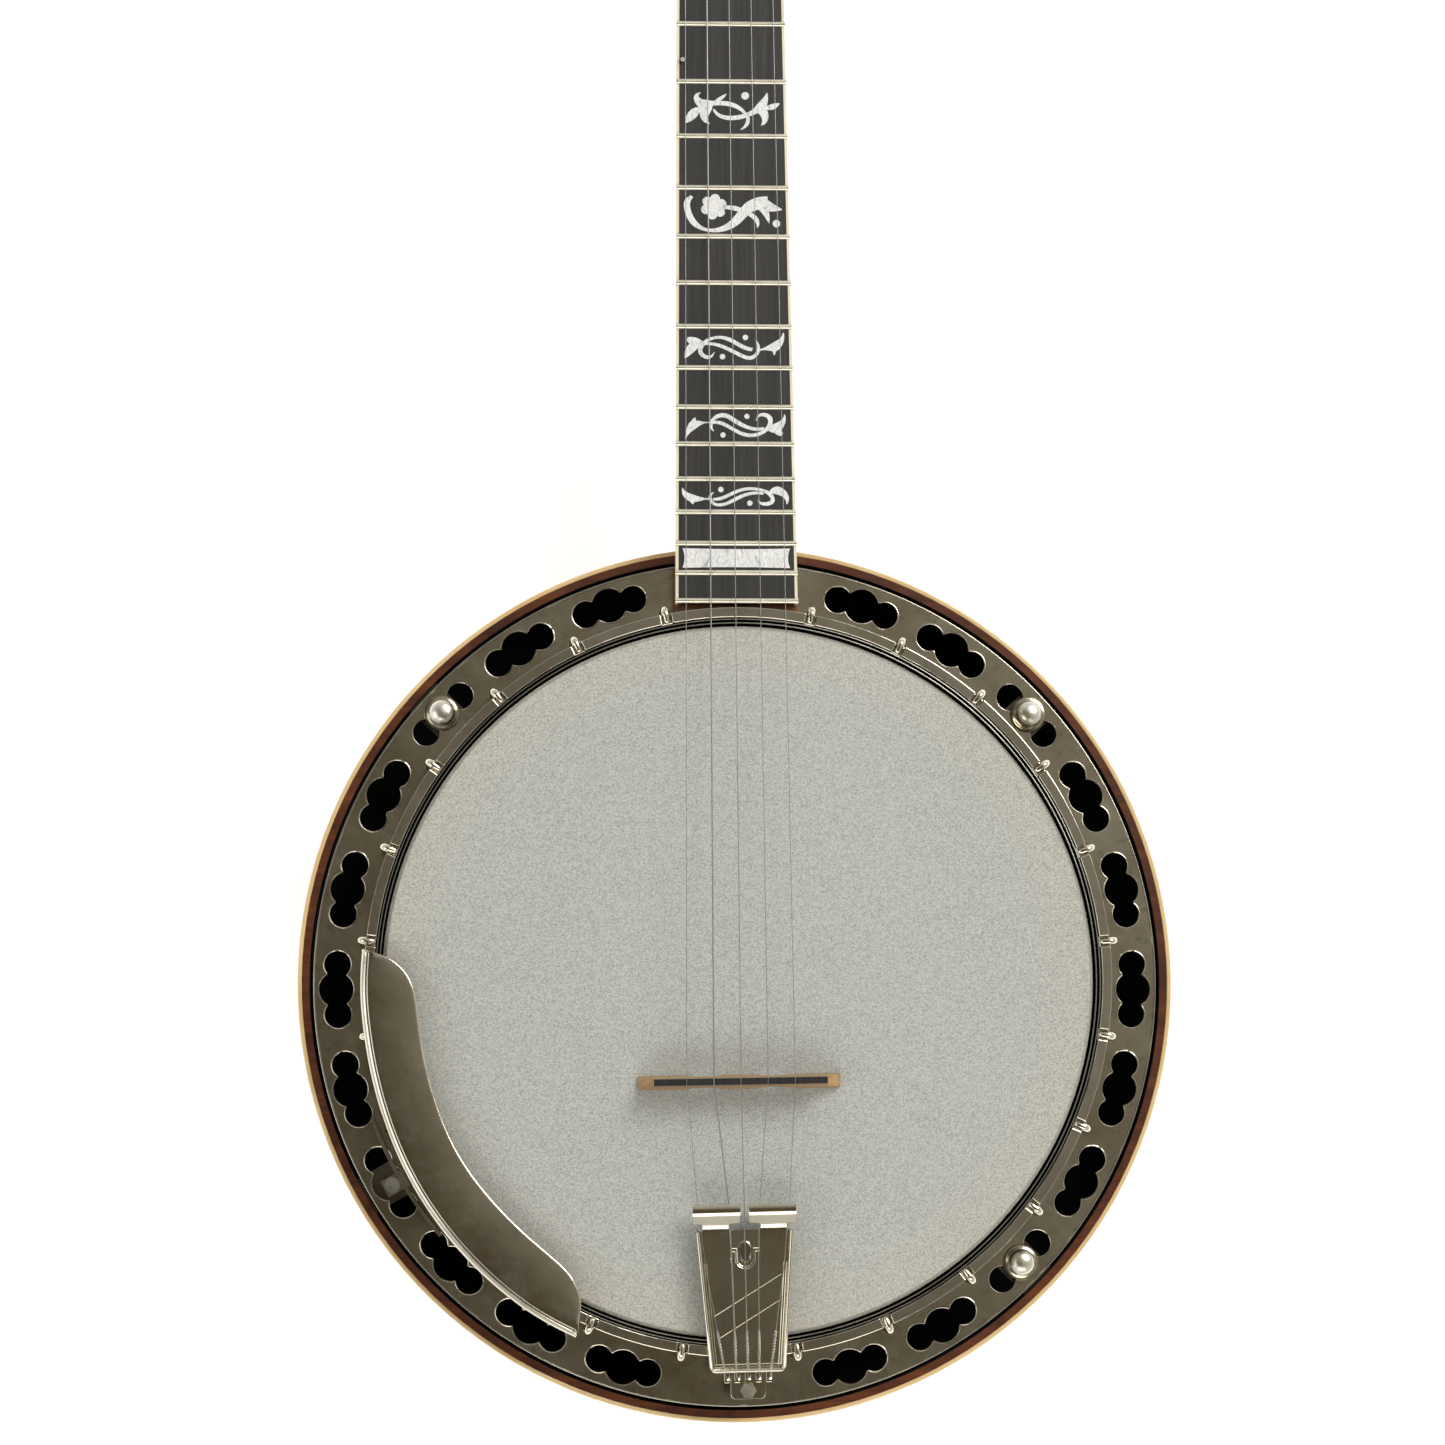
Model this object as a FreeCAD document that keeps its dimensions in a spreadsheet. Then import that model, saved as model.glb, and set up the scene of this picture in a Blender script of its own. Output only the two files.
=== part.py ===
import FreeCAD, Part
import math
import os
import re

import Sketcher
from FreeCAD import Placement, Rotation, Vector

# Five-string resonator banjo.  Millimetres, +Z out of the drum head, +Y up the neck,
# +X to the player's right as seen from the front; origin on the flat of the resonator's back.

DIMENSIONS = {
    # drum head and wooden rim
    "head_film": 0.35, "head_end": 71.0,
    "rim_inner": 123.1, "rim_seat": 135.5, "rim_outer": 139.0, "skirt_inner": 134.0,
    "rim_bottom": 16.0, "lip_top": 70.5, "rim_top": 78.0, "ring_top": 86.2, "ring_edge": 1.2,
    "bearing_width": 4.0, "ring_shelf": 81.0,
    # hoops
    "flesh_depth": 5.0, "flesh_top": 75.5, "hoop_inner": 142.6, "hoop_outer": 146.6,
    "hoop_top": 89.6, "hoop_foot": 139.75, "foot_top": 80.0, "foot_edge": 78.5,
    "notch_width": 4.2, "notch_floor": 85.8,
    # bracket hooks, numbered from the neck down each side
    "hook_circle": 148.4, "hook_rod": 1.65, "hook_bend": 1.8, "hook_end": 47.0,
    "hook_first": 11.3, "hook_step": 14.53, "hooks_per_side": 12,
    "nut_flats": 7.1, "nut_bottom": 45.0,
    # flange
    "flange_inner": 135.6, "flange_outer": 167.1, "flange_top": 63.5, "flange_under": 57.5,
    "flange_plate": 3.0, "flange_step": 154.0, "flange_lip": 2.0, "hook_hole": 2.2,
    "cloud_first": 18.6, "cloud_step": 14.49, "clouds_per_side": 11, "cloud_circle": 157.8,
    "cloud_middle": 7.0, "cloud_end": 5.5, "cloud_spread": 9.9,
    "heel_gap": 41.0, "heel_gap_start": 139.5,
    # resonator
    "wall_inner": 168.4, "wall_body": 171.3, "wall_outer": 173.1, "wall_top": 64.0,
    "wall_bottom": 9.5, "back_edge": 4.5, "back_flat": 60.0, "back_thickness": 5.0,
    "binding_depth": 3.0, "wall_notch": 46.0, "wall_notch_floor": 36.0,
    # resonator lugs and thumbscrews
    "lug_width": 15.2, "lug_top": 57.4, "lug_plate": 2.5, "lug_start": 152.0,
    "lug_leg": 2.4, "lug_bottom": 34.0, "thumb_shank": 2.4, "running_gap": 0.05,
    "thumb_collar": 7.05, "collar_top": 64.9, "thumb_dome": 5.4, "dome_top": 71.5,
    # neck
    "scale_length": 666.75, "fret_count": 22, "neck_angle": 3.0, "head_angle": 14.0,
    "nut_line": 628.2, "nut_height": 62.5, "board_depth": 6.3, "board_end": 480.6,
    "edge_pot_left": 24.7, "edge_pot_right": 23.4, "edge_fifth": 23.4,
    "edge_nut_left": 16.5, "edge_nut_right": 15.2, "edge_step": 19.6,
    "step_start": 160.5, "step_end": 167.0, "binding_width": 1.1,
    "nut_width": 4.8, "nut_rise": 1.6,
    # peghead
    "veneer": 2.0, "peghead_depth": 14.0, "peghead_length": 186.0,
    "peg_low": 46.0, "peg_high": 118.0, "peg_spread": 24.0,
    # bridge
    "bridge_line": 39.6, "bridge_height": 16.0, "bridge_length": 79.0, "cap_length": 67.5,
    "bridge_foot": 5.6, "bridge_top": 2.4, "cap_depth": 1.8, "string_spread": 10.55,
    "nut_spread": 7.8, "nut_shift": -0.65, "bridge_turn": 0.9,
    # tailpiece
    "tail_shift": 3.0, "tail_rear": 152.4, "tail_length": 55.2, "tail_front": 38.2,
    "tail_back": 29.6, "tail_floor": 91.0, "tail_pitch": 2.5, "tail_wall": 4.2,
    "tail_sheet": 1.2, "tail_turn": 1.4, "hanger_back": 6.8,
    # armrest
    "rest_top": 95.2, "rest_sheet": 1.2, "rest_outer": 148.3, "rest_inner": 126.1,
    "rest_shift": 1.0, "rest_drop": 5.4,
}

document = FreeCAD.newDocument("banjo")
sheet = document.addObject("Spreadsheet::Sheet", "dims")
for row, (alias, number) in enumerate(DIMENSIONS.items(), 1):
    sheet.set(f"A{row}", alias)
    sheet.set(f"B{row}", str(number))
    sheet.setAlias(f"B{row}", alias)
document.recompute()


class Sizes:
    """Reads one driving dimension from the sheet by its alias."""

    def __getattr__(self, alias):
        return float(sheet.get(alias))


size = Sizes()
SUBPARTS = []


def bound(expression):
    """The expression with each alias pointing at the sheet."""
    return re.sub(r"[a-z_]+", lambda word: "dims." + word.group(), str(expression))


def value(expression):
    return float(sheet.evalExpression(bound(expression)))


def new_body(label):
    body = document.addObject("PartDesign::Body", label)
    body.Label = label
    body.AllowCompound = True
    SUBPARTS.append(body)
    return body


def new_feature(label, shape, placement=None):
    """A sub-part whose shape comes from Part functions."""
    feature = document.addObject("Part::Feature", label)
    feature.Label = label
    feature.Shape = shape
    if placement is not None:
        feature.Placement = placement
    SUBPARTS.append(feature)
    return feature


def origin_item(body, role):
    return [item for item in body.Origin.OriginFeatures if item.Role == role][0]


def new_sketch(body, role, height=None, turn=None):
    sketch = body.newObject("Sketcher::SketchObject", "outline")
    sketch.AttachmentSupport = [(origin_item(body, role), "")]
    sketch.MapMode = "FlatFace"
    if height is not None:
        sketch.setExpression("AttachmentOffset.Base.z", bound(height))
    if turn is not None:
        sketch.AttachmentOffset = Placement(Vector(0, 0, 0), Rotation(Vector(0, 0, 1), 1))
        sketch.setExpression("AttachmentOffset.Rotation.Angle", bound(turn))
    return sketch


def draw_polygon(sketch, points):
    """A closed outline whose corners are each dimensioned from the sheet."""
    first = sketch.GeometryCount
    corners = [Vector(value(across), value(up), 0) for across, up in points]
    count = len(corners)
    for index in range(count):
        sketch.addGeometry(Part.LineSegment(corners[index], corners[(index + 1) % count]), False)
    for index in range(count):
        following = first + (index + 1) % count
        sketch.addConstraint(Sketcher.Constraint("Coincident", first + index, 2, following, 1))
    for index, pair in enumerate(points):
        for kind, expression in zip(("DistanceX", "DistanceY"), pair):
            rule = Sketcher.Constraint(kind, -1, 1, first + index, 1, value(expression))
            sketch.setExpression(f"Constraints[{sketch.addConstraint(rule)}]", bound(expression))


def draw_circle(sketch, across, up, radius):
    centre = Vector(value(across), value(up), 0)
    item = sketch.addGeometry(Part.Circle(centre, Vector(0, 0, 1), value(radius)), False)
    rules = [("DistanceX", (-1, 1, item, 3), across), ("DistanceY", (-1, 1, item, 3), up)]
    for kind, where, expression in rules:
        rule = Sketcher.Constraint(kind, *where, value(expression))
        sketch.setExpression(f"Constraints[{sketch.addConstraint(rule)}]", bound(expression))
    number = sketch.addConstraint(Sketcher.Constraint("Radius", item, value(radius)))
    sketch.setExpression(f"Constraints[{number}]", bound(radius))


def revolve(body, points, role="XZ_Plane"):
    sketch = new_sketch(body, role)
    draw_polygon(sketch, points)
    turned = body.newObject("PartDesign::Revolution", "turned")
    turned.Profile = sketch
    turned.ReferenceAxis = (sketch, ["V_Axis"])
    turned.Angle = 360
    body.Tip = turned
    document.recompute()
    return turned


def pocket(body, sketch, depth, upward):
    before = body.Shape.Volume
    cut = body.newObject("PartDesign::Pocket", "cut")
    cut.Profile = sketch
    cut.setExpression("Length", bound(depth))
    cut.Reversed = upward
    body.Tip = cut
    document.recompute()
    assert body.Shape.Volume < before, f"{body.Label}: a pocket cuts nothing"
    return cut


def both_sides(body, features, count, step):
    """Repeats features round the pot's axis and mirrors the row to the other side."""
    before = body.Shape.Volume
    repeat = body.newObject("PartDesign::MultiTransform", "repeat")
    repeat.Originals = features
    row = body.newObject("PartDesign::PolarPattern", "row")
    row.Axis = (origin_item(body, "Z_Axis"), [""])
    row.setExpression("Occurrences", bound(count))
    row.setExpression("Angle", bound(f"({count} - 1) * {step}"))
    other = body.newObject("PartDesign::Mirrored", "other_side")
    other.MirrorPlane = (origin_item(body, "YZ_Plane"), [""])
    repeat.Transformations = [row, other]
    body.Tip = repeat
    document.recompute()
    assert body.Shape.Volume != before, f"{body.Label}: a pattern adds nothing"


def polar(angle, radius, height=0.0):
    """A point at an angle measured anticlockwise from the neck."""
    around = math.radians(angle)
    return Vector(-radius * math.sin(around), radius * math.cos(around), height)


def cylinder(radius, start, end):
    run = end - start
    return Part.makeCylinder(radius, run.Length, start, run)


def ring(inner, outer, low, high):
    tall = high - low
    outside = Part.makeCylinder(outer, tall, Vector(0, 0, low))
    return outside.cut(Part.makeCylinder(inner, tall, Vector(0, 0, low)))


def hexagon(flats, low, high, bore=None):
    """A hexagonal prism along Z."""
    corner = flats / math.sqrt(3)
    points = [Vector(corner * math.cos(math.radians(60 * k)),
                     corner * math.sin(math.radians(60 * k)), low) for k in range(7)]
    prism = Part.Face(Part.makePolygon(points)).extrude(Vector(0, 0, high - low))
    if bore:
        prism = prism.cut(Part.makeCylinder(bore, high - low, Vector(0, 0, low)))
    return prism


def turned_solid(points):
    """A solid of revolution about Z from (radius, height) corners."""
    wire = Part.makePolygon([Vector(r, 0, z) for r, z in points + points[:1]])
    return Part.Face(wire).revolve(Vector(0, 0, 0), Vector(0, 0, 1), 360)


def prism(points, low, high):
    """A solid between two heights from a closed outline of (x, y) corners."""
    wire = Part.makePolygon([Vector(x, y, low) for x, y in points + points[:1]])
    return Part.Face(wire).extrude(Vector(0, 0, high - low))


def group(shapes):
    return Part.makeCompound(shapes)


def fused(shapes):
    whole = shapes[0]
    for shape in shapes[1:]:
        whole = whole.fuse(shape)
    return whole.removeSplitter()


def placed(shape, placement):
    moved = shape.copy()
    moved.Placement = placement.multiply(moved.Placement)
    return moved


hook_angles = [side * (size.hook_first + index * size.hook_step)
               for side in (1, -1) for index in range(int(size.hooks_per_side))]


def cloud_angle(number):
    return size.cloud_first + number * size.cloud_step


# ---------------------------------------------------------------- pot


def make_rim():
    body = new_body("rim")
    revolve(body, [
        ("rim_inner", "rim_bottom"), ("rim_seat", "rim_bottom"), ("rim_seat", "flange_top"),
        ("rim_outer", "flange_top"), ("rim_outer", "lip_top"), ("skirt_inner", "lip_top"),
        ("skirt_inner", "rim_top"), ("rim_inner", "rim_top")])
    # holes for the neck bolts and for the rods' tail ends, one above the other
    for hole, toward_neck in ((BOLT_HOLE, True), (ROD_HOLE, False)):
        sketch = new_sketch(body, "XZ_Plane")
        for height in ROD_HEIGHTS:
            draw_circle(sketch, 0, height, hole)
        pocket(body, sketch, 150, not toward_neck)


ROD_HEIGHTS = (44.0, 26.0)
ROD_RADIUS = 3.175
BOLT_RADIUS = 2.5
BOLT_HOLE = 2.7
ROD_HOLE = 3.3
ROD_TAIL, ROD_END = -143, 119
COUPLING_START, COUPLING_LENGTH, COUPLING_FLATS = 113, 9.8, 11
BOLT_END = 158
TAIL_NUT_AT, TAIL_NUT_THICK, WASHER_AT, WASHER_THICK, WASHER_RADIUS = -142, 5, -137, 1.3, 7


def make_tone_ring():
    revolve(new_body("tone_ring"), [
        ("skirt_inner", "lip_top"), ("rim_outer", "lip_top"),
        ("rim_outer", "ring_top - ring_edge"), ("rim_outer - ring_edge", "ring_top"),
        ("rim_outer - bearing_width", "ring_top"), ("rim_inner + 6", "ring_shelf + 1"),
        ("rim_inner", "ring_shelf"), ("rim_inner", "rim_top"), ("skirt_inner", "rim_top")])


def make_head():
    revolve(new_body("head"), [
        (0, "ring_top"), ("rim_outer - ring_edge", "ring_top"),
        ("rim_outer", "ring_top - ring_edge"), ("rim_outer", "head_end"),
        ("rim_outer + head_film", "head_end"),
        ("rim_outer + head_film", "ring_top - ring_edge + head_film / 2"),
        ("rim_outer - ring_edge + head_film / 2", "ring_top + head_film"),
        (0, "ring_top + head_film")])


def make_hoops():
    revolve(new_body("flesh_hoop"), [
        ("rim_outer + head_film", "head_end"),
        ("rim_outer + head_film + flesh_depth", "head_end"),
        ("rim_outer + head_film + flesh_depth", "flesh_top"),
        ("rim_outer + head_film", "flesh_top")])
    body = new_body("tension_hoop")
    revolve(body, [
        ("hoop_foot", "flesh_top"), ("hoop_outer", "flesh_top"), ("hoop_outer", "hoop_top"),
        ("hoop_inner", "hoop_top"), ("hoop_inner", "foot_top"), ("hoop_foot", "foot_edge")])
    sketch = new_sketch(body, "XY_Plane", "notch_floor", "hook_first")
    draw_polygon(sketch, [
        ("-notch_width / 2", "hoop_inner - 2"), ("notch_width / 2", "hoop_inner - 2"),
        ("notch_width / 2", "hoop_outer + 2"), ("-notch_width / 2", "hoop_outer + 2")])
    notch = pocket(body, sketch, "hoop_top - notch_floor + 1", True)
    both_sides(body, [notch], "hooks_per_side", "hook_step")


def hook_shape(angle):
    """A round hook: shaft, bend and the short arm that lies in the hoop's notch."""
    out = polar(angle, 1.0)
    corner_height = size.notch_floor + size.hook_rod
    bend = size.hook_bend
    foot = out * size.hook_circle + Vector(0, 0, size.hook_end)
    shoulder = out * size.hook_circle + Vector(0, 0, corner_height - bend)
    centre = out * (size.hook_circle - bend) + Vector(0, 0, corner_height - bend)
    middle = centre + (out + Vector(0, 0, 1)) * (bend / math.sqrt(2))
    elbow = centre + Vector(0, 0, bend)
    tip = out * size.hoop_inner + Vector(0, 0, corner_height)
    path = Part.Wire([Part.LineSegment(foot, shoulder).toShape(),
                      Part.Arc(shoulder, middle, elbow).toShape(),
                      Part.LineSegment(elbow, tip).toShape()])
    section = Part.Wire([Part.Circle(foot, Vector(0, 0, 1), size.hook_rod).toShape()])
    return path.makePipeShell([section], True, True)


def make_hooks():
    new_feature("bracket_hooks", group([hook_shape(angle) for angle in hook_angles]))
    nut = hexagon(size.nut_flats, size.nut_bottom, size.flange_under, size.hook_rod)
    nut = nut.common(turned_solid([(0, 45.0), (3.5, 45.0), (4.4, 46.5), (4.4, 57.5), (0, 57.5)]))
    nuts = []
    for angle in hook_angles:
        nuts.append(placed(nut, Placement(polar(angle, size.hook_circle),
                                          Rotation(Vector(0, 0, 1), angle))))
    new_feature("bracket_nuts", group(nuts))


def make_flange():
    body = new_body("flange")
    revolve(body, [
        ("flange_inner", "flange_under"), ("flange_step", "flange_under"),
        ("flange_step + 1", "flange_top - flange_plate"),
        ("flange_outer - flange_lip", "flange_top - flange_plate"),
        ("flange_outer - flange_lip", "flange_under + 0.5"),
        ("flange_outer", "flange_under + 0.5"), ("flange_outer", "flange_top - 0.6"),
        ("flange_outer - 0.6", "flange_top"), ("flange_inner", "flange_top")])
    gap = new_sketch(body, "XY_Plane", "flange_under - 1")
    draw_polygon(gap, [
        ("-heel_gap / 2", "heel_gap_start"), ("heel_gap / 2", "heel_gap_start"),
        ("heel_gap / 2", "flange_outer + 1"), ("-heel_gap / 2", "flange_outer + 1")])
    pocket(body, gap, "flange_top - flange_under + 2", True)
    hole = new_sketch(body, "XY_Plane", "flange_under - 1", "hook_first")
    draw_circle(hole, 0, "hook_circle", "hook_hole")
    hole_cut = pocket(body, hole, "flange_top - flange_under + 2", True)
    both_sides(body, [hole_cut], "hooks_per_side", "hook_step")
    middle = new_sketch(body, "XY_Plane", "flange_under - 1", "cloud_first")
    draw_circle(middle, 0, "cloud_circle", "cloud_middle")
    middle_cut = pocket(body, middle, "flange_top - flange_under + 2", True)
    both_sides(body, [middle_cut], "clouds_per_side", "cloud_step")
    ends = new_sketch(body, "XY_Plane", "flange_under - 1", "cloud_first")
    draw_circle(ends, "-cloud_spread", "cloud_circle - 0.6", "cloud_end")
    draw_circle(ends, "cloud_spread", "cloud_circle - 0.6", "cloud_end")
    ends_cut = pocket(body, ends, "flange_top - flange_under + 2", True)
    both_sides(body, [ends_cut], "clouds_per_side", "cloud_step")
    # hole for the tailpiece's hanger bolt
    tail = new_sketch(body, "XY_Plane", "flange_under - 1")
    draw_circle(tail, "tail_shift", "-tail_rear - hanger_back", 2.4)
    pocket(body, tail, "flange_top - flange_under + 2", True)


# ---------------------------------------------------------------- resonator

THUMB_ANGLES = (cloud_angle(2), -cloud_angle(2), -cloud_angle(8))
OPEN_LUG_ANGLE = cloud_angle(7)
SCREW_HEIGHTS = (38.5, 48.5)


def wall_screw(height):
    """A pan-headed wood screw lying along +Y through a lug's leg into the wall."""
    leg_face = size.wall_inner - size.lug_leg
    head = cylinder(2.6, Vector(0, leg_face - 1.6, height), Vector(0, leg_face, height))
    shank = cylinder(1.4, Vector(0, leg_face, height), Vector(0, size.wall_body - 0.6, height))
    return head.fuse(shank).removeSplitter()


def turn_to(angle):
    return Placement(Vector(0, 0, 0), Rotation(Vector(0, 0, 1), angle))


LUG_ANGLES = THUMB_ANGLES + (OPEN_LUG_ANGLE,)


def make_resonator():
    wall = turned_solid([
        (size.wall_inner, size.wall_bottom), (size.wall_outer, size.wall_bottom),
        (size.wall_outer, size.wall_top - size.binding_depth),
        (size.wall_body, size.wall_top - size.binding_depth), (size.wall_body, size.wall_top),
        (size.wall_inner, size.wall_top)])
    notch = Part.makeBox(size.wall_notch, 30, 60, Vector(-size.wall_notch / 2, 150,
                                                        size.wall_notch_floor))
    wall = wall.cut(notch)
    screws = [placed(wall_screw(height), turn_to(angle))
              for angle in LUG_ANGLES for height in SCREW_HEIGHTS]
    for screw in screws:
        wall = wall.cut(screw)
    new_feature("resonator_wall", wall)

    rise = size.back_edge
    span = size.wall_body - size.back_flat
    bow = (span ** 2 + rise ** 2) / (2 * rise)

    def dome(radius, lift):
        drop = radius - size.back_flat
        return Vector(radius, 0, lift + bow - math.sqrt(bow ** 2 - drop ** 2))

    inner = size.wall_inner - 1.0
    half_out = (size.back_flat + size.wall_body) / 2
    half_in = (size.back_flat + inner) / 2
    deep = size.back_thickness
    seat = size.wall_bottom
    corners = [Vector(0, 0, 0), Vector(size.back_flat, 0, 0)]
    edges = [Part.LineSegment(*corners).toShape(),
             Part.Arc(corners[1], dome(half_out, 0), dome(size.wall_body, 0)).toShape()]
    run = [dome(size.wall_body, 0), Vector(size.wall_body, 0, seat), Vector(inner, 0, seat),
           dome(inner, deep)]
    edges += [Part.LineSegment(a, b).toShape() for a, b in zip(run, run[1:])]
    edges += [Part.Arc(dome(inner, deep), dome(half_in, deep),
                       Vector(size.back_flat, 0, deep)).toShape(),
              Part.LineSegment(Vector(size.back_flat, 0, deep), Vector(0, 0, deep)).toShape(),
              Part.LineSegment(Vector(0, 0, deep), Vector(0, 0, 0)).toShape()]
    face = Part.Face(Part.Wire(edges))
    new_feature("resonator_back", face.revolve(Vector(0, 0, 0), Vector(0, 0, 1), 360))

    upper = ring(size.wall_body, size.wall_outer, size.wall_top - size.binding_depth,
                 size.wall_top).cut(notch)
    lower = ring(size.wall_body, size.wall_outer, size.back_edge, size.wall_bottom)
    new_feature("resonator_binding", group([upper, lower]))

    lugs = []
    inside = Part.makeCylinder(size.wall_inner, 100)
    for angle in LUG_ANGLES:
        plate = Part.makeBox(size.lug_width, 30, size.lug_plate,
                             Vector(-size.lug_width / 2, size.lug_start,
                                    size.lug_top - size.lug_plate))
        leg = Part.makeBox(size.lug_width, 10, size.lug_top - size.lug_bottom,
                           Vector(-size.lug_width / 2, size.wall_inner - size.lug_leg,
                                  size.lug_bottom))
        lug = plate.fuse(leg).common(inside).removeSplitter()
        bore = Part.makeCylinder(size.thumb_shank + size.running_gap, 20,
                                 Vector(0, size.cloud_circle, size.lug_bottom + 10))
        if angle == OPEN_LUG_ANGLE:
            slot = Part.makeBox(2 * size.thumb_shank, size.cloud_circle - size.lug_start + 1, 20,
                                Vector(-size.thumb_shank, size.lug_start - 1,
                                       size.lug_bottom + 10))
            bore = bore.fuse(slot)
        lug = lug.cut(bore)
        for height in SCREW_HEIGHTS:
            lug = lug.cut(cylinder(1.4, Vector(0, 160, height), Vector(0, 172, height)))
        lugs.append(placed(lug, turn_to(angle)))
    new_feature("resonator_lugs", group(lugs))
    return screws


def make_thumbscrews():
    gap = size.running_gap
    start = size.flange_top + gap
    profile = [Vector(0, 0, size.lug_bottom + 14), Vector(size.thumb_shank, 0, size.lug_bottom + 14),
               Vector(size.thumb_shank, 0, start), Vector(size.thumb_collar, 0, start),
               Vector(size.thumb_collar, 0, size.collar_top),
               Vector(size.thumb_dome, 0, size.collar_top + 0.8),
               Vector(size.thumb_dome, 0, size.collar_top + 2.6)]
    edges = [Part.LineSegment(a, b).toShape() for a, b in zip(profile, profile[1:])]
    crown = Vector(0.6, 0, size.dome_top)
    pole = Vector(0, 0, size.dome_top)
    shoulder = Vector(size.thumb_dome * 0.76, 0, size.dome_top - 1.5)
    edges += [Part.Arc(profile[-1], shoulder, crown).toShape(),
              Part.LineSegment(crown, pole).toShape(),
              Part.LineSegment(pole, profile[0]).toShape()]
    knob = Part.Face(Part.Wire(edges)).revolve(Vector(0, 0, 0), Vector(0, 0, 1), 360)
    for number, angle in enumerate(THUMB_ANGLES, 1):
        new_feature(f"thumbscrew_{number}", knob, Placement(polar(angle, size.cloud_circle),
                                                           Rotation()))


# ---------------------------------------------------------------- rods inside the pot


def make_rods():
    rods, fasteners = [], []
    along = Rotation(Vector(1, 0, 0), -90)
    for height in ROD_HEIGHTS:
        rods.append(cylinder(ROD_RADIUS, Vector(0, ROD_TAIL, height), Vector(0, ROD_END, height)))
        coupling = hexagon(COUPLING_FLATS, 0, COUPLING_LENGTH)
        coupling = coupling.cut(Part.makeCylinder(ROD_RADIUS, ROD_END - COUPLING_START))
        coupling = coupling.cut(Part.makeCylinder(BOLT_RADIUS, COUPLING_LENGTH + 1))
        fasteners.append(placed(coupling, Placement(Vector(0, COUPLING_START, height), along)))
        fasteners.append(cylinder(BOLT_RADIUS, Vector(0, ROD_END, height), Vector(0, BOLT_END, height)))
        tail_nut = hexagon(COUPLING_FLATS, 0, TAIL_NUT_THICK, ROD_RADIUS)
        fasteners.append(placed(tail_nut, Placement(Vector(0, TAIL_NUT_AT, height), along)))
        washer = Part.makeCylinder(WASHER_RADIUS, WASHER_THICK)
        washer = washer.cut(Part.makeCylinder(ROD_RADIUS, WASHER_THICK))
        fasteners.append(placed(washer, Placement(Vector(0, WASHER_AT, height), along)))
    new_feature("coordinator_rods", group(rods))
    new_feature("rod_fasteners", group(fasteners))


# ---------------------------------------------------------------- neck frame

NECK = Placement(Vector(0, size.nut_line, size.nut_height),
                 Rotation(Vector(1, 0, 0), -size.neck_angle))
PEGHEAD = NECK.multiply(Placement(Vector(0, size.nut_width, -3.6),
                                  Rotation(Vector(1, 0, 0), -size.head_angle)))


def fret_distance(number):
    return size.scale_length * (1 - 2 ** (-number / 12))


def right_edge(distance):
    taper = (size.edge_pot_right - size.edge_nut_right) / fret_distance(size.fret_count)
    return size.edge_nut_right + taper * distance


def left_edge(distance):
    if distance >= size.step_end:
        taper = (size.edge_pot_left - size.edge_fifth) / (size.board_end - size.step_end)
        return size.edge_fifth + taper * (distance - size.step_end)
    narrow_taper = (size.edge_step - size.edge_nut_left) / size.step_start
    if distance <= size.step_start:
        return size.edge_nut_left + narrow_taper * distance
    part = (distance - size.step_start) / (size.step_end - size.step_start)
    ease = (1 - math.cos(math.pi * part)) / 2
    return size.edge_step + (size.edge_fifth - size.edge_step) * ease


def left_outline(inset, end):
    """The left edge from the nut to the pot: narrow, shoulder at the fifth peg, full width."""
    stations = [0, size.step_start, 162, 163, 164, 165.5, size.step_end, end]
    return [(inset - left_edge(distance), -distance) for distance in stations]


def board_outline(inset):
    end = size.board_end
    left = left_outline(inset, end)
    right = [(right_edge(end) - inset, -end), (right_edge(0) - inset, 0)]
    return left + right


def fret_shape(number):
    distance = fret_distance(number)
    left, right = -left_edge(distance) - 0.15, right_edge(distance) + 0.15
    half_crown, rise, half_tang, tang = 1.15, 1.1, 0.3, 1.8
    crown = [Part.LineSegment(Vector(left, half_tang - distance, 0),
                              Vector(left, half_crown - distance, 0)).toShape(),
             Part.Arc(Vector(left, half_crown - distance, 0), Vector(left, -distance, rise),
                      Vector(left, -half_crown - distance, 0)).toShape(),
             Part.LineSegment(Vector(left, -half_crown - distance, 0),
                              Vector(left, -half_tang - distance, 0)).toShape()]
    steps = [Vector(left, -half_tang - distance, 0), Vector(left, -half_tang - distance, -tang),
             Vector(left, half_tang - distance, -tang), Vector(left, half_tang - distance, 0)]
    stem = [Part.LineSegment(a, b).toShape() for a, b in zip(steps, steps[1:])]
    profile = Part.Face(Part.Wire(crown + stem))
    bar = profile.extrude(Vector(right - left, 0, 0))
    margin = size.binding_width + 0.1
    trims = [Part.makeBox(5, 4, 4, Vector(left - 5 + 0.15 + margin, -distance - 2, -4)),
             Part.makeBox(5, 4, 4, Vector(right - 0.15 - margin, -distance - 2, -4))]
    return bar.cut(trims[0]).cut(trims[1])


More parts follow.
